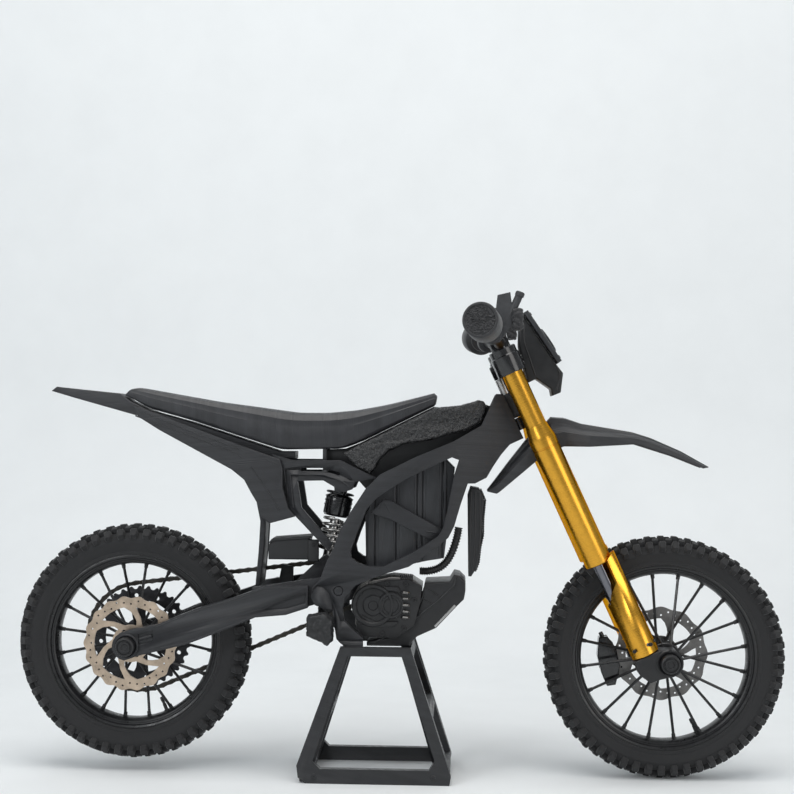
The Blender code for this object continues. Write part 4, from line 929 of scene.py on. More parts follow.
def buildMotor(spec):
    # Motor block with its round covers, plates, fins, wires and screws.
    face = spec["face"]
    block = [(11, -24), (17, -32), (40, -33), (52, -24), (56, -8), (57, 3), (49, 8), (36, 9), (22, 6),
             (12, 0)]
    shape = bmesh.new()
    addPlate(shape, fromPivot(block), face + 0.6, 12.0, (), 1.0)
    for i in range(9):
        y = -18 + i * 3.4
        addPlate(shape, fromPivot(circle(spec["cover"], 15.6, 40)), y, y + 1.6, (), 0.4)
    finishPiece("motor_finned", shape, "darkSteel", "chassis", ("motor",))
    shape = bmesh.new()
    plate = [(12, -26), (17, -32), (40, -33), (52, -24), (56, -8), (57, 3), (48, 7.5), (33, 7), (19, 3),
             (12, -4)]
    addPlate(shape, fromPivot(plate), face - 2.6, face + 0.2, (), 0.5)

    def at(point, out):
        return (pivot.x + point[0], face - out, pivot.z + point[1])

    big, small = spec["cover"], spec["gear"]
    addTurned(shape, [(11.6, 0), (14.6, 0), (14.6, 4.4), (14.0, 5.1), (12.4, 5.1), (11.6, 4.4)], at(big, 0),
              at(big, 1), 64)
    addPost(shape, [(12.4, 0), (12.4, 3.0), (7.2, 3.3), (7.0, 4.6), (6.4, 5.0), (3.4, 5.0), (3.0, 4.2),
                    (0.6, 4.2)],
            at(big, 0), at(big, 1), 48)
    addPost(shape, [(9.2, 0), (9.2, 4.6), (8.6, 5.2), (7.2, 5.2), (6.8, 4.5), (5.2, 4.4), (4.8, 4.8),
                    (0.6, 4.9)],
            at(small, 0), at(small, 1), 48)
    for bar in ([(24.5, 3.2), (41, 2.5), (42, -1.0), (27, 0.4)],
                [(15.6, -17), (25, -21.5), (41, -21.5), (38, -25), (24, -26)]):
        addPlate(shape, fromPivot(bar), face - 4.4, face - 1, (), 0.5)
    for point in ((14.5, -2), (14.8, -22), (33, 4.6), (46, 4.5), (45, -26), (30, -30), (52, -6)):
        addScrew(shape, at(point, 2.6), -alongY, 1.7, 1.2)
    finishPiece("motor_covers_round", shape, "coverBlack", "chassis", ("motor_cover",))
    shape = bmesh.new()
    for z in (-1.4, -5.6, -10.0, -14.4, -18.4):
        addTube(shape, [at((43.6, z), 3.4), at((44.2, z), 4.4), at((47.4, z - 0.2), 4.4),
                        at((48.0, z - 0.2), 3.4)], 0.95, 10)
    finishPiece("motor_fins", shape, "darkSteel", "chassis")
    shape = bmesh.new()
    turns = []
    for i in range(96):
        turn = 2 * math.pi * i / 16
        turns.append((pivot.x + 41.5 + i * 0.095, face + 1.5 + 2.3 * math.sin(turn),
                      pivot.z + 8.4 + 2.3 * math.cos(turn)))
    addTube(shape, turns, 0.42, 6)
    finishPiece("motor_wires", shape, "leverGrey", "chassis")


buildMotor(motorPlaces)


def buildSkid():
    shape = nodeShape("skid_plate", 0.9)
    for y in (-21.4, 21.4):
        for line in ([(60.3, 1.6), (69.9, -4.5)], [(56.3, -5.1), (64.0, -9.4)],
                     [(53.6, -12.7), (58.9, -15.2)]):
            addTube(shape, [(pivot.x + x, y, pivot.z + z) for x, z in line], 0.45, 8)
        edge = [(24, -36.4), (39.8, -29.0), (54.9, -17.6), (68.9, -6.3), (79, 3.5), (80.5, 9)]
        addTube(shape, [(pivot.x + x, y, pivot.z + z) for x, z in edge], 0.6, 8)
        back = [(51.5, -21), (54.2, -12), (57.4, -4), (59.4, 4.2)]
        addTube(shape, [(pivot.x + x, y, pivot.z + z) for x, z in back], 0.7, 8)
    finishPiece("skid_plate_ribbed", shape, "coverBlack", "chassis", ("skid_plate",))
    shape = bmesh.new()
    for side in (-1, 1):
        addPlate(shape, fromPivot([(66.5, -25.6), (80.4, -10.7), (79.4, -9.6), (65.6, -24.4)]),
                 *sideSpan(side, 20.6, 21.7), (), 0.2)
    finishPiece("skid_strips", shape, "steel", "chassis")


buildSkid()


def buildRadiator():
    outline = [(90, 71), (96, 70), (98.4, 66), (99.6, 62), (98.2, 48), (98.2, 38), (96.4, 29), (95.4, 20),
               (94.4, 15), (91, 9.5), (88.9, 9.5), (88.2, 51), (88, 65)]
    shape = bmesh.new()
    addPlate(shape, fromPivot(outline), -17.4, 17.4, (), 0.8)
    front = [(97.6, 68.5), (100.4, 62), (99.2, 48), (99.2, 38), (97.3, 29), (96.2, 19), (94.6, 14.5)]
    for i in range(34):
        z = 14.5 + 54 * i / 33
        x = between([(point[1], point[0]) for point in reversed(front)], z)
        addTube(shape, [(pivot.x + x, -16.8, pivot.z + z), (pivot.x + x, 16.8, pivot.z + z)], 0.62, 8)
    for side in (-1, 1):
        for shift in (0, 3.4, 6.8):
            line = [(90.2 + shift * 0.9, 68), (90.0 + shift, 50), (90.0 + shift * 0.95, 30),
                    (89.6 + shift * 0.6, 13)]
            places = smoothLine([(pivot.x + x, side * 17.3, pivot.z + z) for x, z in line], 4)
            addTube(shape, places, 0.7, 8)
    finishPiece("radiator_finned", shape, "coverBlack", "chassis", ("radiator",))
    path = [(82, 43), (80.5, 35), (77.5, 26), (73.5, 19), (68, 14.5), (61, 12.5), (55, 12.5)]
    line = smoothLine([(pivot.x + x, -13.0, pivot.z + z) for x, z in path], 18)
    shape = bmesh.new()
    addTube(shape, line, 2.9, 20, [1.0 if i % 4 in (0, 1) else 0.78 for i in range(len(line))])
    finishPiece("hose_corrugated", shape, "coverBlack", "chassis", ("coolant_hose",), sharp=60)


buildRadiator()
print("stage: frame, battery, motor, skid plate, radiator")

# seat, tank cover and tail
seatLines = dict(
    top=((-154, 134), (-151, 137.5), (-145, 139), (-110, 133), (-86, 129), (-62, 126), (-31, 122), (-10, 122),
         (10, 124), (31, 128), (51, 133), (64, 136.5), (66, 134.6)),
    bottom=((-154, 133), (-149, 131), (-136, 124), (-106, 116), (-71, 105), (-42, 96), (0, 97), (13, 102),
            (39, 115), (65, 128), (66, 133)),
    width=((-154, 9), (-150, 10.6), (-120, 14), (-60, 18), (-10, 19), (40, 16), (64, 13.2), (66, 12)),
)


def buildSeat(lines):
    # A crowned seat: flat-topped edge, a crease down its side and a rounded lower edge.
    stations = [-154, -153, -151.5] + [-150 + 2.5 * i for i in range(86)] + [64, 65.2, 66]
    rings = []
    for x in stations:
        shifts = (-3, 0, 3) if -148 < x < 61 else (0,)
        near = [between(lines["top"], x + shift) for shift in shifts]
        top = sum(near) / len(near)
        shifts = (-3, 0, 3) if -146 < x < 61 else (0,)
        low = [between(lines["bottom"], x + shift) for shift in shifts]
        bottom = sum(low) / len(low)
        wide, tall = between(lines["width"], x), top - bottom
        half = [(0.0, 0.0), (0.80, 0.0), (0.93, 0.05), (0.985, 0.14), (1.0, 0.34), (0.99, 0.56),
                (0.965, 0.60),
                (0.955, 0.66), (0.945, 0.78), (0.90, 0.83), (0.80, 0.93), (0.66, 0.975), (0.34, 1.0), (0.0,
                        1.0)]
        ring = [(pivot.x + x, wide * across, pivot.z + bottom + tall * up) for across, up in half]
        ring += [(pivot.x + x, -wide * across, pivot.z + bottom + tall * up) for across,
                 up in reversed(half[1:-1])]
        rings.append(ring)
    shape = bmesh.new()
    addRings(shape, rings)
    finishPiece("seat_crowned", shape, "seatPrint", "chassis", ("seat",), sharp=24)
    shape = bmesh.new()
    for side in (-1, 1):
        addBlock(shape, (pivot.x - 13.2, side * 14 - 1.6, pivot.z + 88),
                 (pivot.x - 10.6, side * 14 + 1.6, pivot.z + 98), 0.4)
    finishPiece("seat_posts", shape, "leverGrey", "chassis")


buildSeat(seatLines)

tank = dict(halfWidth=21.0, headShare=0.45, grain=1.7, depth=0.62, voxel=0.62)


def buildTank(spec):
    outline = [(1, 94), (14, 100.5), (40, 113.5), (65, 126), (75, 127), (82, 127.6), (89, 129.6),
               (95, 131.5), (99, 130.4),
               (101, 126.5), (98, 117.5), (88, 111), (75, 108), (63, 104), (44, 101), (33, 96), (27, 90),
               (23, 83), (20, 80), (12, 84)]
    # outline of a near-black plate from the tank cover down to the battery top; its part below the tank is painted
    # shade for the shadowed recess there
    shadeFillOutline = [(-13, 96.1), (2, 96.9), (13, 101.4), (39, 114.4), (64, 126.9), (75, 125), (99, 129), (104, 127.5),
            (104, 119), (97, 112.5), (80, 98.5), (71, 93.4), (49, 84.3), (27, 71.2), (19, 66.5), (14, 72),
            (8, 79), (2, 86), (-13, 88)]
    sway = ((55, 0.0), (75, 0.20), (95, 0.58), (108, 0.90))
    shape = bmesh.new()
    addPlate(shape, fromPivot(outline), -spec["halfWidth"], spec["halfWidth"], (), 1.6)
    for vert in shape.verts:
        vert.co.y *= 1 - spec["headShare"] * between(sway, vert.co.x - pivot.x)
    piece = finishPiece("tank_rough", shape, "roughCover", "chassis", ("tank_cover",))
    roughen(piece, spec["voxel"], spec["grain"], spec["depth"])
    # painted shade: a dark sheet put in the shadowed recess under the tank cover
    shape = bmesh.new()
    addPlate(shape, fromPivot(shadeFillOutline), -9, 9, (), 0.4)
    finishPiece("tank_shade_fill", shape, "coverBlack", "chassis")


buildTank(tank)


def buildTail():
    shape = nodeShape("tail_fender", 0.5)
    finishPiece("tail_fender_shown", shape, "tailPrint", "chassis", ("tail_fender",))
    for name, side in sides:
        shape = nodeShape("tail_panel_" + name, 0.6)
        for line in ([(-145.0, 118.8), (-110.1, 107.0), (-72.9, 93.6), (-43.5, 70.5)],
                     [(-143, 122.6), (-106, 108.6), (-72, 96.8), (-44, 86.5)], [(-62, 84), (-49, 66),
                             (-42, 54)]):
            points = []
            for x, z in line:
                inset = 9.0 * max(0.0, min(1.0, (-62 - x) / 86))
                points.append((pivot.x + x, side * (24.85 - inset), pivot.z + z))
            addTube(shape, points, 0.5, 8)
        finishPiece("tail_panel_creased_" + name, shape, "tailPrint", "chassis", ("tail_panel_" + name,))
    piece = finishPiece("subframe_slotted", nodeShape("subframe", 0.7), "framePrint", "chassis",
                        ("subframe",))
    tool = bmesh.new()
    line = [(-36.6, 60), (-38.2, 82.6), (-10.5, 82.8), (2.0, 78.6), (7.5, 75.4)]
    for side in (-1, 1):
        addPlate(tool, fromPivot(strip(line, 1.5)), *sideSpan(side, 20.4, 24))
    carve(piece, tool)
    tool = bmesh.new()
    for line in ([(-27.9, 82.4), (-12.6, 82.5)], [(-9.0, 82.0), (-0.8, 79.4)]):
        addPlate(tool, fromPivot(strip(line, 2.2)), -30, 30)
    carve(piece, tool)
    shape = bmesh.new()
    for side in (-1, 1):
        line = [(pivot.x + x, side * 22.2, pivot.z + z) for x, z in ((-32.5, 56), (-35, 79), (-12, 79),
                (0, 75), (6, 71))]
        addTube(shape, line, 0.55, 8)
    finishPiece("subframe_beads", shape, "framePrint", "chassis")
    shape = nodeShape("receiver_box", 0.6)
    addPlate(shape, fromPivot([(-51, 30.4), (-48, 34.0), (-21, 36.2), (-21, 34.6), (-46.5, 32.4)]), -17.8,
             9.2, (), 0.2)
    addBlock(shape, (pivot.x - 23, -16.6, pivot.z + 18.4), (pivot.x - 15.5, -10.4, pivot.z + 33.4), 0.5)
    addScrew(shape, (pivot.x - 19, -16.6, pivot.z + 30), -alongY, 1.2, 0.7)
    finishPiece("receiver_box_lidded", shape, "smallPrint", "chassis", ("receiver_box",))
    shape = nodeShape("mud_guard", 0.5)
    for y in (-13.2, 12.6):
        line = [(-61, 70), (-57, 59), (-54, 46), (-55, 25), (-57, 3)]
        addTube(shape, smoothLine([(pivot.x + x, y, pivot.z + z) for x, z in line], 5), 1.1, 8)
    finishPiece("mud_guard_ribbed", shape, "framePrint", "chassis", ("mud_guard",))
    for name, side in sides:
        shape = nodeShape("footpeg_" + name, 0.4)
        piece = finishPiece("footpeg_rough_" + name, shape, "smallPrint", "chassis", ("footpeg_" + name,))
        roughen(piece, 0.55, 3.1, 1.0)


buildTail()
print("stage: seat, tank, tail")
# fork: tubes, guards, stanchions, clamps, axles
fork = dict(spread=26.0, offset=9.0, upper=7.25, lower=9.45, stanchion=4.75, tubeEnd=95.8, tubeTop=-64.5,
            guardLead=3.3, guardOuter=9.6, guardInner=8.4, guardLow=164.5, guardHigh=89.2, travel=14.5)


def sideOutline(points):
    # Points (down the fork, ahead) as a side-view outline.
    return [(p.x, p.z) for p in (forkPoint(down, ahead) for down, ahead in points)]


def buildFork(spec):
    end, top, offset = spec["tubeEnd"], spec["tubeTop"], spec["offset"]
    length = end - top
    for name, side in sides:
        y = side * spec["spread"]
        foot, head = forkPoint(end, offset, y), forkPoint(top, offset, y)
        upper, lower = spec["upper"], spec["lower"]
        profile = [(5.05, 0.6), (5.6, 0), (lower - 0.9, 0), (lower - 0.15, 0.5), (lower, 1.2),
                   (lower, end - 9.2),
                   (lower - 0.35, end - 9.0), (lower - 0.35, end - 8.2), (lower, end - 8.0), (lower,
                           end - 1.6),
                   (lower - 0.35, end - 0.2), (upper + 0.3, end + 7.6), (upper, end + 8.8), (upper,
                           length - 1),
                   (upper - 0.9, length), (5.05, length)]
        shape = bmesh.new()
        addTurned(shape, profile, foot, head, 72)
        addPost(shape, [(5.3, length - 5), (5.3, length + 0.4), (3.2, length + 0.5), (2.8, length - 0.4),
                        (0.4, length - 0.5)],
                foot, head, 32)
        finishPiece("fork_tube_turned_" + name, shape, "goldAnodised", "steering", ("fork_tube_" + name,))
        ahead = offset + spec["guardLead"]
        shape = bmesh.new()
        span = spec["guardLow"] - spec["guardHigh"]
        outer, inner = spec["guardOuter"], spec["guardInner"]
        addTurned(shape, [(inner, 0), (outer - 0.2, 0), (outer, 0.3), (outer, span - 0.3),
                          (outer - 0.2, span), (inner, span)],
                  forkPoint(spec["guardLow"], ahead, y), forkPoint(spec["guardHigh"], ahead, y), 96)
        piece = finishPiece("fork_guard_slanted_" + name, shape, "goldAnodised", "fork_lower",
                            ("fork_guard_" + name,))
        front = offset + 0.53 * lower
        cutEnd = end + spec["travel"] + 0.5
        for outline in ([(end - 9, front + 0.2), (end - 9, -12), (cutEnd + 21, -12),
                         (cutEnd + 13, offset - 4.5), (cutEnd + 6.5, offset - 1.5), (cutEnd, front + 0.2)],
                        [(end - 10, offset - 8), (end - 10, offset + 16), (end - 6, offset + 16),
                         (end - 1, front), (end - 1, offset - 8)]):
            tool = bmesh.new()
            addPlate(tool, sideOutline(outline), y - 12, y + 12)
            carve(piece, tool)
        shape = bmesh.new()
        addPost(shape, [(spec["stanchion"], 0), (spec["stanchion"], 88.6), (spec["stanchion"] - 0.5, 89)],
                forkPoint(164.6, offset, y), forkPoint(75.6, offset, y), 48)
        addTurned(shape, [(spec["stanchion"] - 0.2, 0), (spec["stanchion"] + 1.3, 0),
                          (spec["stanchion"] + 1.3, 2.4),
                          (spec["stanchion"] - 0.2, 3.2)], forkPoint(163.6, offset, y), forkPoint(162.6,
                                  offset, y), 48)
        finishPiece("stanchion_polished_" + name, shape, "darkChrome", "fork_lower", ("stanchion_" + name,))
        shape = nodeShape("axle_clamp_" + name, 0.9)
        face = 34.8
        axis = (frontAxle.x, side * face, frontAxle.z)
        addTurned(shape, [(3.6, -1.5), (9.3, -1.5), (9.3, 0.2), (8.7, 0.8), (6.9, 0.8), (6.7, 0.1),
                          (3.6, 0.1)],
                  axis, (axis[0], side * (face + 1), axis[2]), 48)
        for down, out in ((158.5, -3.0), (158.5, 9.0), (168, 19)):
            spot = forkPoint(down, offset + out, side * face)
            addScrew(shape, spot, alongY * side, 1.3, 0.8)
        finishPiece("axle_clamp_bossed_" + name, shape, "coverBlack", "fork_lower", ("axle_clamp_" + name,))
        shape = bmesh.new()
        for down, turn in ((158.0, 0.35), (158.0, 1.15)):
            reach = Vector((math.cos(turn) * forkAhead.x, side * math.sin(turn),
                            math.cos(turn) * forkAhead.z))
            spot = forkPoint(down, ahead, y) + reach * (outer - 0.1)
            addScrew(shape, spot, reach, 1.25, 0.6, 0.4)
        finishPiece("guard_screws_" + name, shape, "glossBlack", "fork_lower")


buildFork(fork)


def buildAxle(name, place, hubEnd, inner, outer, body):
    # Shaft, spacers beside the hub, and a capped nut at each end.
    nut = outer + 0.35
    half = [(0.4, nut + 5.6), (2.0, nut + 5.6), (2.4, nut + 6.2), (3.8, nut + 6.2), (4.0, nut + 5.1),
            (4.8, nut + 5.1),
            (5.2, nut + 5.8), (6.3, nut + 5.2), (6.6, nut + 4.2), (6.6, nut), (3.0, nut), (3.0, inner - 0.35),
            (5.0, inner - 0.35), (5.0, hubEnd + 0.35), (3.0, hubEnd + 0.35)]
    profile = half + [(r, -h) for r, h in reversed(half)]
    shape = bmesh.new()
    addPost(shape, profile, (place.x, 0, place.z), (place.x, 1, place.z), 48)
    finishPiece(name + "_capped", shape, "coverBlack", body, (name,))


axles = {
    "front_axle": (frontAxle, 12.0, 16.8, 34.8, "fork_lower"),
    "rear_axle": (rearAxle, 19.4, 24.0, 33.0, "swingarm_body"),
}
for axleName, values in axles.items():
    buildAxle(axleName, *values)

clamps = dict(top=-58, bottom=-48, tubeHole=7.6, bossRadius=10, stemSide=-3.4, riser=10, screwRadius=1.4)


def buildClamps(spec):
    spread, offset = fork["spread"], fork["offset"]
    shape = bmesh.new()

    def outline():
        half = [(spec["stemSide"], 5.5), (-0.9, 8.5), (6.3, 9.1), (6.3, 16.3)]
        boss = spec["bossRadius"]
        for i in range(19):
            turn = math.radians(245 - 300 * i / 18)
            half.append((offset + boss * math.cos(turn), spread + boss * math.sin(turn)))
        half.append((16.5, 16.5))
        return half + [(n, -y) for n, y in reversed(half)]

    bores = [circle((offset, y), spec["tubeHole"], 48) for y in (-spread, spread)]
    addAxisPlate(shape, outline(), spec["top"], spec["bottom"], bores, 0.8)
    for y in (-spread, spread):
        foot, head = forkPoint(-47.6, offset, y), forkPoint(-66, offset, y)
        addTurned(shape, [(7.7, 0), (10.1, 0), (10.25, 0.5), (10.25, 12.6), (9.6, 13.4), (9.6, 17.6),
                          (9.0, 18.2), (7.7, 18.2)],
                  foot, head, 64)
        for down in (-51, -55.4):
            addScrew(shape, forkPoint(down, offset + 10.0, y), forkAhead, spec["screwRadius"], 0.8)
    riser = sideOutline([(-56, 4.5), (-56, 14.5), (-66.2, 14.5), (-66.2, 5.5)])
    addPlate(shape, riser, -spec["riser"], spec["riser"], (), 0.8)
    for y in (-7, 7):
        for ahead in (4.9, 15.1):
            addPost(shape, [(1.7, 0), (1.7, 10.6), (1.2, 11.0)], forkPoint(-65.4, ahead, y),
                    forkPoint(-76.4, ahead, y), 20)
    for y in (-7, 7):
        start, end = forkPoint(-70.6, 10.0, y - 2.6), forkPoint(-70.6, 10.0, y + 2.6)
        addTurned(shape, [(4.15, 0), (6.0, 0), (6.3, 0.4), (6.3, 4.8), (6.0, 5.2), (4.15, 5.2)], start, end,
                  36)
    finishPiece("upper_clamp_bolted", shape, "glossBlack", "steering", ("upper_triple_clamp",))
    shape = nodeShape("lower_triple_clamp", 0.5)
    finishPiece("lower_clamp_saddled", shape, "glossBlack", "steering", ("lower_triple_clamp",))


buildClamps(clamps)

bars = dict(centre=(-70.6, 10.0), tip=(-14.7, 10.2), bendY=20.0, span=104.0, innerEnd=78.0, radius=4.0,
            endRadius=11.8, endLength=20.0)


def barPoint(y):
    middle = forkPoint(*bars["centre"])
    out = max(0.0, abs(y) - bars["bendY"]) / (bars["span"] - bars["bendY"])
    return Vector((middle.x + bars["tip"][0] * out, y, middle.z + bars["tip"][1] * out))


def buildBars(spec):
    stations = [-spec["innerEnd"], -40, -27, -23, -20, -16, -8, 8, 16, 20, 23, 27, 40, spec["innerEnd"]]
    shape = bmesh.new()
    addTube(shape, [barPoint(y) for y in stations], spec["radius"], 28)
    finishPiece("handlebar_bent", shape, "coverBlack", "steering", ("handlebar",))
    for name, side in sides:
        inner, outer = barPoint(side * (spec["innerEnd"] + 0.35)), barPoint(side * spec["span"])
        length = (outer - inner).length
        big, start = spec["endRadius"], length - spec["endLength"]
        profile = [(4.6, 0), (8.4, 0), (8.8, 0.6)]
        steps = 9
        for i in range(steps):
            h = 1.2 + (start - 2.2) * i / steps
            profile += [(8.8, h), (8.2, h + 0.25)]
        profile += [(9.2, start - 0.8), (big - 0.5, start), (big, start + 0.7), (big, length - 1.0),
                    (big - 0.25, length - 0.3),
                    (big - 0.9, length), (big - 1.6, length - 0.1), (big - 1.9, length - 0.9)]
        faceRadius = big - 2.0
        for i in range(26):
            profile.append((faceRadius * (1 - i / 26) + 0.12, length - 0.7))
        shape = bmesh.new()
        addPost(shape, profile, inner, outer, 84)
        direction = (outer - inner).normalized()
        for vert in shape.verts:
            offset = vert.co - inner
            rise = offset.dot(direction)
            reach = (offset - direction * rise).length
            if abs(rise - (length - 0.7)) < 0.02 and reach < faceRadius:
                spot = Vector((vert.co.x / 2.1, side * 3 / 2.1, vert.co.z))
                vert.co += direction * (noise.noise(spot * 1.5) * 1.0 + noise.noise(spot * 3.1) * 0.5)
        finishPiece("grip_capped_" + name, shape, "gripBlack", "steering", ("grip_" + name,), sharp=40)
        shape = nodeShape("lever_" + name, 0.7)
        middle = barPoint(side * 58)
        start, end = barPoint(side * 54), barPoint(side * 62)
        addTurned(shape, [(4.1, 0), (7.4, 0), (7.8, 0.5), (7.8, 7.4), (7.4, 8.0), (4.1, 8.0)], start, end, 36)
        tip = middle + Vector((19.0, side * 1, 26.0))
        addPost(shape, [(2.4, -0.5), (3.1, 0), (3.1, 2.4), (2.4, 3.1)], tip - Vector((0.6, 0, 1.6)), tip, 24)
        finishPiece("lever_shaped_" + name, shape, "leverGrey", "steering", ("lever_" + name,))
        shape = bmesh.new()
        addBlock(shape, middle + Vector((14, -5, 2)), middle + Vector((21, 4, 16)), 1.6)
        lump = finishPiece("switch_lump_" + name, shape, "gripBlack", "steering")
        roughen(lump, 0.5, 2.2, 0.9)


buildBars(bars)


lamp = dict(face=((-3.8, 89.6), (-1.0, 91.4), (22.8, 56.4), (20.0, 54.4)), halfWidth=16.0, lensDown=25,
            screwSide=13)


def buildLamp(spec):
    shape = bmesh.new()
    addPlate(shape, fromHead(spec["face"]), -spec["halfWidth"], spec["halfWidth"], (), 0.9)
    topCorner = headPlace + Vector((-1.0, 0, 91.4))
    along = Vector((23.8, 0, -35.0)).normalized()
    ahead = Vector((-along.z, 0, along.x)).normalized()
    middle = topCorner + along * spec["lensDown"]
    addTurned(shape, [(7.6, -0.8), (9.6, -0.8), (9.6, 1.2), (9.0, 1.8), (8.2, 1.8), (7.6, 1.2)], middle,
              middle + ahead, 56)
    for y in (-spec["screwSide"], spec["screwSide"]):
        for run in (3.2, 39):
            addScrew(shape, topCorner + alongY * y + along * run, ahead, 1.3, 0.6)
    finishPiece("headlight_plate", shape, "casePrint", "steering", ("headlight_face",))
    shape = bmesh.new()
    addPost(shape, [(7.9, -0.6), (7.9, 0.5), (6.4, 1.3), (4.0, 1.9), (1.6, 2.2), (0.3, 2.25)], middle,
            middle + ahead, 56)
    finishPiece("headlight_lens", shape, "darkChrome", "steering")
    shape = nodeShape("headlight_shell", 0.8)
    for y in (-13.4, 13.4):
        for line in ([(-3.2, 82), (-3.4, 70), (0.5, 58), (4.5, 46)], [(16.5, 57), (21.5, 47), (19.5, 36)]):
            addTube(shape, smoothLine([headPlace + Vector((x, y, z)) for x, z in line], 4), 0.6, 8)
    finishPiece("headlight_shell_ribbed", shape, "coverBlack", "steering", ("headlight_shell",))


buildLamp(lamp)

fenderLines = dict(
    top=((-28.1, -34.2), (-14, -15), (-0.6, 2.3), (6.4, 7.8), (11.9, 10.3), (14.7, 17.4), (25.4, 16.8),
         (37.4, 12.8), (53.4, 10.3), (72.4, 7.3), (85.4, 3.3), (106.4, -5.7), (125.4, -16.2)),
    bottom=((-28.1, -35.2), (-21.1, -36.7), (8.4, -11.2), (24.4, -3.2), (42.4, -3.2), (58.4, -2.2),
            (74.4, -1.2), (101.4, -9.7), (121.4, -17.7), (125.4, -17.0)),
    width=((-20, 11.5), (0, 15.0), (27, 15.3), (42, 21.0), (82, 19.0), (126, 7.0)),
)


def buildFender(lines):
    # A thin curved fender: crowned across, with a crease each side and its edges turned down.
    stations = [-28.1 + 2.2 * i for i in range(70)]
    stations = [x for x in stations if x < 125.4] + [125.4]
    rings = []
    for x in stations:
        top, bottom = between(lines["top"], x), between(lines["bottom"], x)
        wide = between(lines["width"], x)
        tall = max(top - bottom, 0.8)
        deep = tall * 0.72
        half = [(0.0, top), (0.34, top - 0.02 * tall), (0.52, top - 0.04 * tall), (0.58, top - 0.20 * tall),
                (0.86, top - 0.34 * tall), (0.97, top - 0.50 * tall), (1.0, bottom + 0.12 * tall), (0.98,
                        bottom),
                (0.90, bottom + 0.02 * tall), (0.84, bottom + 0.3 * (tall - 0.6)), (0.5,
                        top - min(deep, 2.6) - 0.1 * tall),
                (0.0, top - min(deep, 2.4))]
        ring = [(headPlace.x + x, wide * across, headPlace.z + z) for across, z in half]
        ring += [(headPlace.x + x, -wide * across, headPlace.z + z) for across, z in reversed(half[1:-1])]
        rings.append(ring)
    shape = bmesh.new()
    addRings(shape, rings)
    finishPiece("front_fender_crowned", shape, "fenderPrint", "steering", ("front_fender",), sharp=20)


buildFender(fenderLines)


def buildCaliper():
    shape = nodeShape("front_caliper", 0.6)
    high = cadCorners("front_caliper")[1]
    for z in (4.0, -9.5):
        spot = Vector((frontAxle.x - 38, high.y, frontAxle.z + z))
        addPost(shape, [(5.2, -3), (5.2, 0.6), (4.6, 1.2), (3.0, 1.2), (2.6, 0.7), (0.4, 0.7)], spot,
                spot + alongY, 32)
    spot = Vector((frontAxle.x - 40.5, high.y - 4, frontAxle.z + 10))
    addPost(shape, [(1.6, -2), (1.6, 4), (1.2, 4.6)], spot, spot + Vector((-0.5, 0, 1)), 16)
    finishPiece("front_caliper_lobed", shape, "glossBlack", "fork_lower", ("front_caliper",))


buildCaliper()
print("stage: fork, clamps, bars, lamp and fender")

# chain: plates and rollers round both sprockets
chain = dict(pitch=6.35, frontTeeth=14, rearTeeth=35, lift=3.05, half=1.75, waist=1.2, plateWall=0.8,
             roller=1.6)


def chainLoop(spec):
    # Evenly spaced pin places round both sprockets.
    rear = spec["pitch"] / (2 * math.sin(math.pi / spec["rearTeeth"])) + spec["lift"]
    front = spec["pitch"] / (2 * math.sin(math.pi / spec["frontTeeth"])) + spec["lift"]
    reach = math.hypot(pivot.x - rearAxle.x, pivot.z - rearAxle.z)
    heading = math.atan2(pivot.z - rearAxle.z, pivot.x - rearAxle.x)
    spread = math.acos((rear - front) / reach)
    line = []
    for centre, radius, start, end, count in ((rearAxle, rear, heading + spread,
                                               heading - spread + 2 * math.pi, 240),
                                              (pivot, front, heading - spread, heading + spread, 120)):
        for i in range(count + 1):
            turn = start + (end - start) * i / count
            line.append(Vector((centre.x + radius * math.cos(turn), centre.z + radius * math.sin(turn))))
    runs = [0.0]
    for a, b in zip(line, line[1:] + line[:1]):
        runs.append(runs[-1] + (b - a).length)
    links = round(runs[-1] / spec["pitch"] / 2) * 2
    places, k = [], 0
    for i in range(links):
        run = runs[-1] * i / links
        while runs[k + 1] < run:
            k += 1
        share = (run - runs[k]) / max(runs[k + 1] - runs[k], 0.001)
        places.append(line[k % len(line)].lerp(line[(k + 1) % len(line)], share))
    return places


def buildChain(spec):
    low, high = cadCorners("drive_chain")
    middle = (low.y + high.y) / 2
    places = chainLoop(spec)
    shape = bmesh.new()
    for i, start in enumerate(places):
        end = places[(i + 1) % len(places)]
        along = (end - start).normalized()
        across = Vector((-along.y, along.x))
        outline = []
        for k in range(9):
            turn = math.radians(-80 + 160 * k / 8)
            outline.append(end + (along * math.cos(turn) + across * math.sin(turn)) * spec["half"])
        outline.append((start + end) / 2 + across * spec["waist"])
        for k in range(9):
            turn = math.radians(100 + 160 * k / 8)
            outline.append(start + (along * math.cos(turn) + across * math.sin(turn)) * spec["half"])
        outline.append((start + end) / 2 - across * spec["waist"])
        reach = 1.65 if i % 2 else 0.8
        for side in (-1, 1):
            near, far = sorted((middle + side * reach, middle + side * (reach + spec["plateWall"])))
            rings = [[(p.x, y, p.y) for p in outline] for y in (near, far)]
            addRings(shape, rings)
        pin = [(0.85, -2.5), (0.85, -1.0), (spec["roller"], -0.75), (spec["roller"], 0.75), (0.85, 1.0),
               (0.85, 2.5)]
        addPost(shape, pin, (start.x, middle, start.y), (start.x, middle + 1, start.y), 12)
    finishPiece("chain_links", shape, "chainSteel", "swingarm_body", ("drive_chain",))


buildChain(chain)


arm = dict(outerFace=33.0, grooveDepth=1.5, beadRadius=0.55)


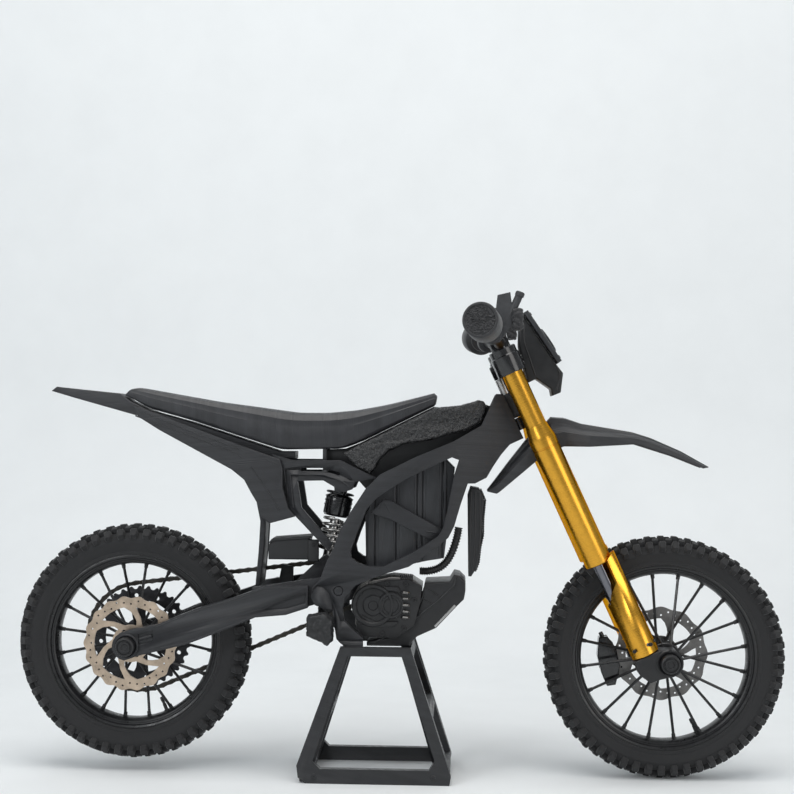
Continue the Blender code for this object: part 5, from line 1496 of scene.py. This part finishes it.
def buildSwingarm(spec):
    outer = spec["outerFace"]
    shape = nodeShape("swingarm", 1.0)
    piece = finishPiece("swingarm_grooved", shape, "armPrint", "swingarm_body", ("swingarm",))
    groove = [(-51.5, -13.8), (-33, -5.6), (-22.6, -2.6), (-22.6, -8.6), (-35.4, -12.6)]
    adjuster = [(-138, -31.5), (-127.5, -28.5), (-127.5, -36.5), (-138, -39)]
    tool = bmesh.new()
    for side in (-1, 1):
        for outline in (groove, adjuster):
            addPlate(tool, fromPivot(outline), *sideSpan(side, outer - spec["grooveDepth"], outer + 2))
    carve(piece, tool)
    shape = bmesh.new()
    for side in (-1, 1):
        face = side * outer
        addTurned(shape, [(6.9, -1), (8.6, -1), (8.6, 0.6), (8.1, 1.0), (7.4, 1.0), (6.9, 0.5)],
                  (rearAxle.x, face, rearAxle.z), (rearAxle.x, face + side, rearAxle.z), 48)
        addTube(shape, [(pivot.x + x, side * (outer - 1.2), pivot.z + z) for x,
                        z in ((-137, -35.0), (-128.5, -32.6))], 1.2, 12)
        addScrew(shape, (pivot.x - 133, side * (outer - 1.6), pivot.z - 33.8), alongY * side, 1.9, 1.0)
        for line in ([(-125, -26.2), (-93, -13.2), (-73, -7.2), (-50, 1.2), (-23, 1.6)],
                     [(-36, -15.8), (-57, -17.9), (-81, -27.8), (-104, -36.8), (-122, -41)]):
            addTube(shape, [(pivot.x + x, side * (outer - 0.35), pivot.z + z) for x, z in line],
                    spec["beadRadius"], 8)
    finishPiece("swingarm_trim", shape, "armPrint", "swingarm_body")


buildSwingarm(arm)


shock = dict(rings=4, firstRing=4.0, ringStep=3.0, springStart=22.4, springEnd=41.1, springRadius=7.4,
             wire=1.15, turns=4.5, stroke=4.5)


def buildShock(spec):
    body = nodeShape("shock_body", 0.3)
    down = shockDown
    for i in range(spec["rings"]):
        foot = shockTop + down * (spec["firstRing"] + i * spec["ringStep"])
        addTurned(body, [(9.3, 0), (9.9, 0.2), (9.9, 1.1), (9.3, 1.3)], foot, foot + down, 48)
    finishPiece("shock_body_ringed", body, "glossBlack", "shock_upper", ("shock_body",))
    start, end = spec["springStart"], spec["springEnd"]
    turning = turnTo(shockTop, shockTop + down)
    line = []
    turns, steps = spec["turns"], 26
    for i in range(int(turns * steps) + 1):
        turn = 2 * math.pi * i / steps
        depth = start + (end - start) * i / (turns * steps)
        reach = spec["springRadius"]
        line.append(turning @ Vector((reach * math.cos(turn), reach * math.sin(turn), depth)))
    shape = bmesh.new()
    addTube(shape, line, spec["wire"], 14)
    spring = finishPiece("shock_spring_coiled", shape, "steel", "shock_upper", ("shock_spring",))
    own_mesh(spring)


buildShock(shock)


def buildStand():
    finishPiece("stand_printed", nodeShape("stand", 1.2), "standPrint", "stand_body", ("stand",))
    low, high = cadCorners("stand")
    shape = bmesh.new()
    for side in (-1, 1):
        for x, z in ((low.x + 12, 5), (high.x - 12, 5)):
            addScrew(shape, (x, side * high.y, z), alongY * side, 2.0, 0.5)
    finishPiece("stand_plugs", shape, "standPrint", "stand_body")
    shape = nodeShape("head_tube", 0.5)
    finishPiece("head_tube_shown", shape, "framePrint", "chassis", ("head_tube",))
    finishPiece("pivot_pin_flush", nodeShape("swingarm_pivot_bolt", 0.4), "framePrint", "chassis",
                ("swingarm_pivot_bolt",))


buildStand()
print("stage: chain, swingarm, shock and stand")


# carried-over shapes with rounded edges
polished = {
    "drive_sprocket": ("sprocketBlack", 0.1),
    "steering_stem": ("steel", 0.2),
    "shock_shaft": ("steel", 0.2),
}
for node, (finish, bevel) in polished.items():
    polishNode(node, finish, bevel)
print("stage: carried-over shapes")

# floor, light and camera
studio = dict(floorColour=(0.80, 0.82, 0.83), worldLight=0.40, floorWide=6.0,
              wallBehind=0.75, wallHigh=3.0, sweepRadius=0.30)
viewpoint = dict(place=(0.04176, -1.080, 0.24429), turn=(91.0279, -0.4999, 2.3576), lens=69.37, sensor=36.0)


def plainFinish(name, colour, roughness):
    made = Finish(name, colour, roughness, Specular_IOR_Level=0.3)
    made.tint(made.noise(60.0, 3.0), 0.985, 1.015)
    finishes[name] = made.material
    return made.material


def buildStage(spec):
    # Pale floor that sweeps up into a plain wall behind.
    shape = bmesh.new()
    wide = spec["floorWide"] / 2
    line = [(-3.0, 0.0), (spec["wallBehind"] - spec["sweepRadius"], 0.0)]
    for i in range(1, 13):
        turn = math.pi / 2 * i / 12
        line.append((spec["wallBehind"] - spec["sweepRadius"] * (1 - math.sin(turn)),
                     spec["sweepRadius"] * (1 - math.cos(turn))))
    line.append((spec["wallBehind"], spec["wallHigh"]))
    rows = [[shape.verts.new((x, y, z)) for y, z in line] for x in (-wide, wide)]
    for i in range(len(line) - 1):
        shape.faces.new((rows[0][i], rows[1][i], rows[1][i + 1], rows[0][i + 1]))
    mesh = bpy.data.meshes.new("floor")
    bmesh.ops.recalc_face_normals(shape, faces=shape.faces)
    shape.to_mesh(mesh)
    shape.free()
    mesh.materials.append(plainFinish("paleFloor", spec["floorColour"], 0.75))
    mesh.shade_smooth()
    floor = bpy.data.objects.new("floor", mesh)
    bpy.context.scene.collection.objects.link(floor)


def addLight(name, place, aim, wide, high, power, colour):
    data = bpy.data.lights.new(name, "AREA")
    data.shape = "RECTANGLE"
    data.size, data.size_y = wide, high
    data.energy = power
    data.color = colour
    lamp = bpy.data.objects.new(name, data)
    lamp.location = place
    lamp.rotation_euler = (Vector(aim) - Vector(place)).to_track_quat("-Z", "Y").to_euler()
    bpy.context.scene.collection.objects.link(lamp)


buildStage(studio)
world = bpy.data.worlds.new("paleRoom")
world.use_nodes = True
world.node_tree.nodes["Background"].inputs["Color"].default_value = (0.86, 0.91, 0.95, 1)
world.node_tree.nodes["Background"].inputs["Strength"].default_value = studio["worldLight"]
bpy.context.scene.world = world
addLight("ceiling", (0.0, -0.35, 1.5), (0.0, 0.0, 0.15), 1.5, 0.9, 15, (1.0, 0.99, 0.97))
addLight("window", (-1.1, -1.5, 0.9), (0.0, 0.0, 0.15), 0.7, 0.7, 9, (0.95, 0.98, 1.0))
addLight("fill", (1.3, -1.3, 0.6), (0.0, 0.0, 0.15), 0.9, 0.9, 6, (1.0, 0.98, 0.95))
bpy.context.scene.view_settings.view_transform = "Standard"
cameraData = bpy.data.cameras.new("camera")
cameraData.lens = viewpoint["lens"]
cameraData.sensor_width = viewpoint["sensor"]
camera = bpy.data.objects.new("camera", cameraData)
camera.location = viewpoint["place"]
camera.rotation_euler = [math.radians(angle) for angle in viewpoint["turn"]]
bpy.context.scene.collection.objects.link(camera)
bpy.context.scene.camera = camera
bpy.context.view_layer.update()
print("stage: studio and camera")
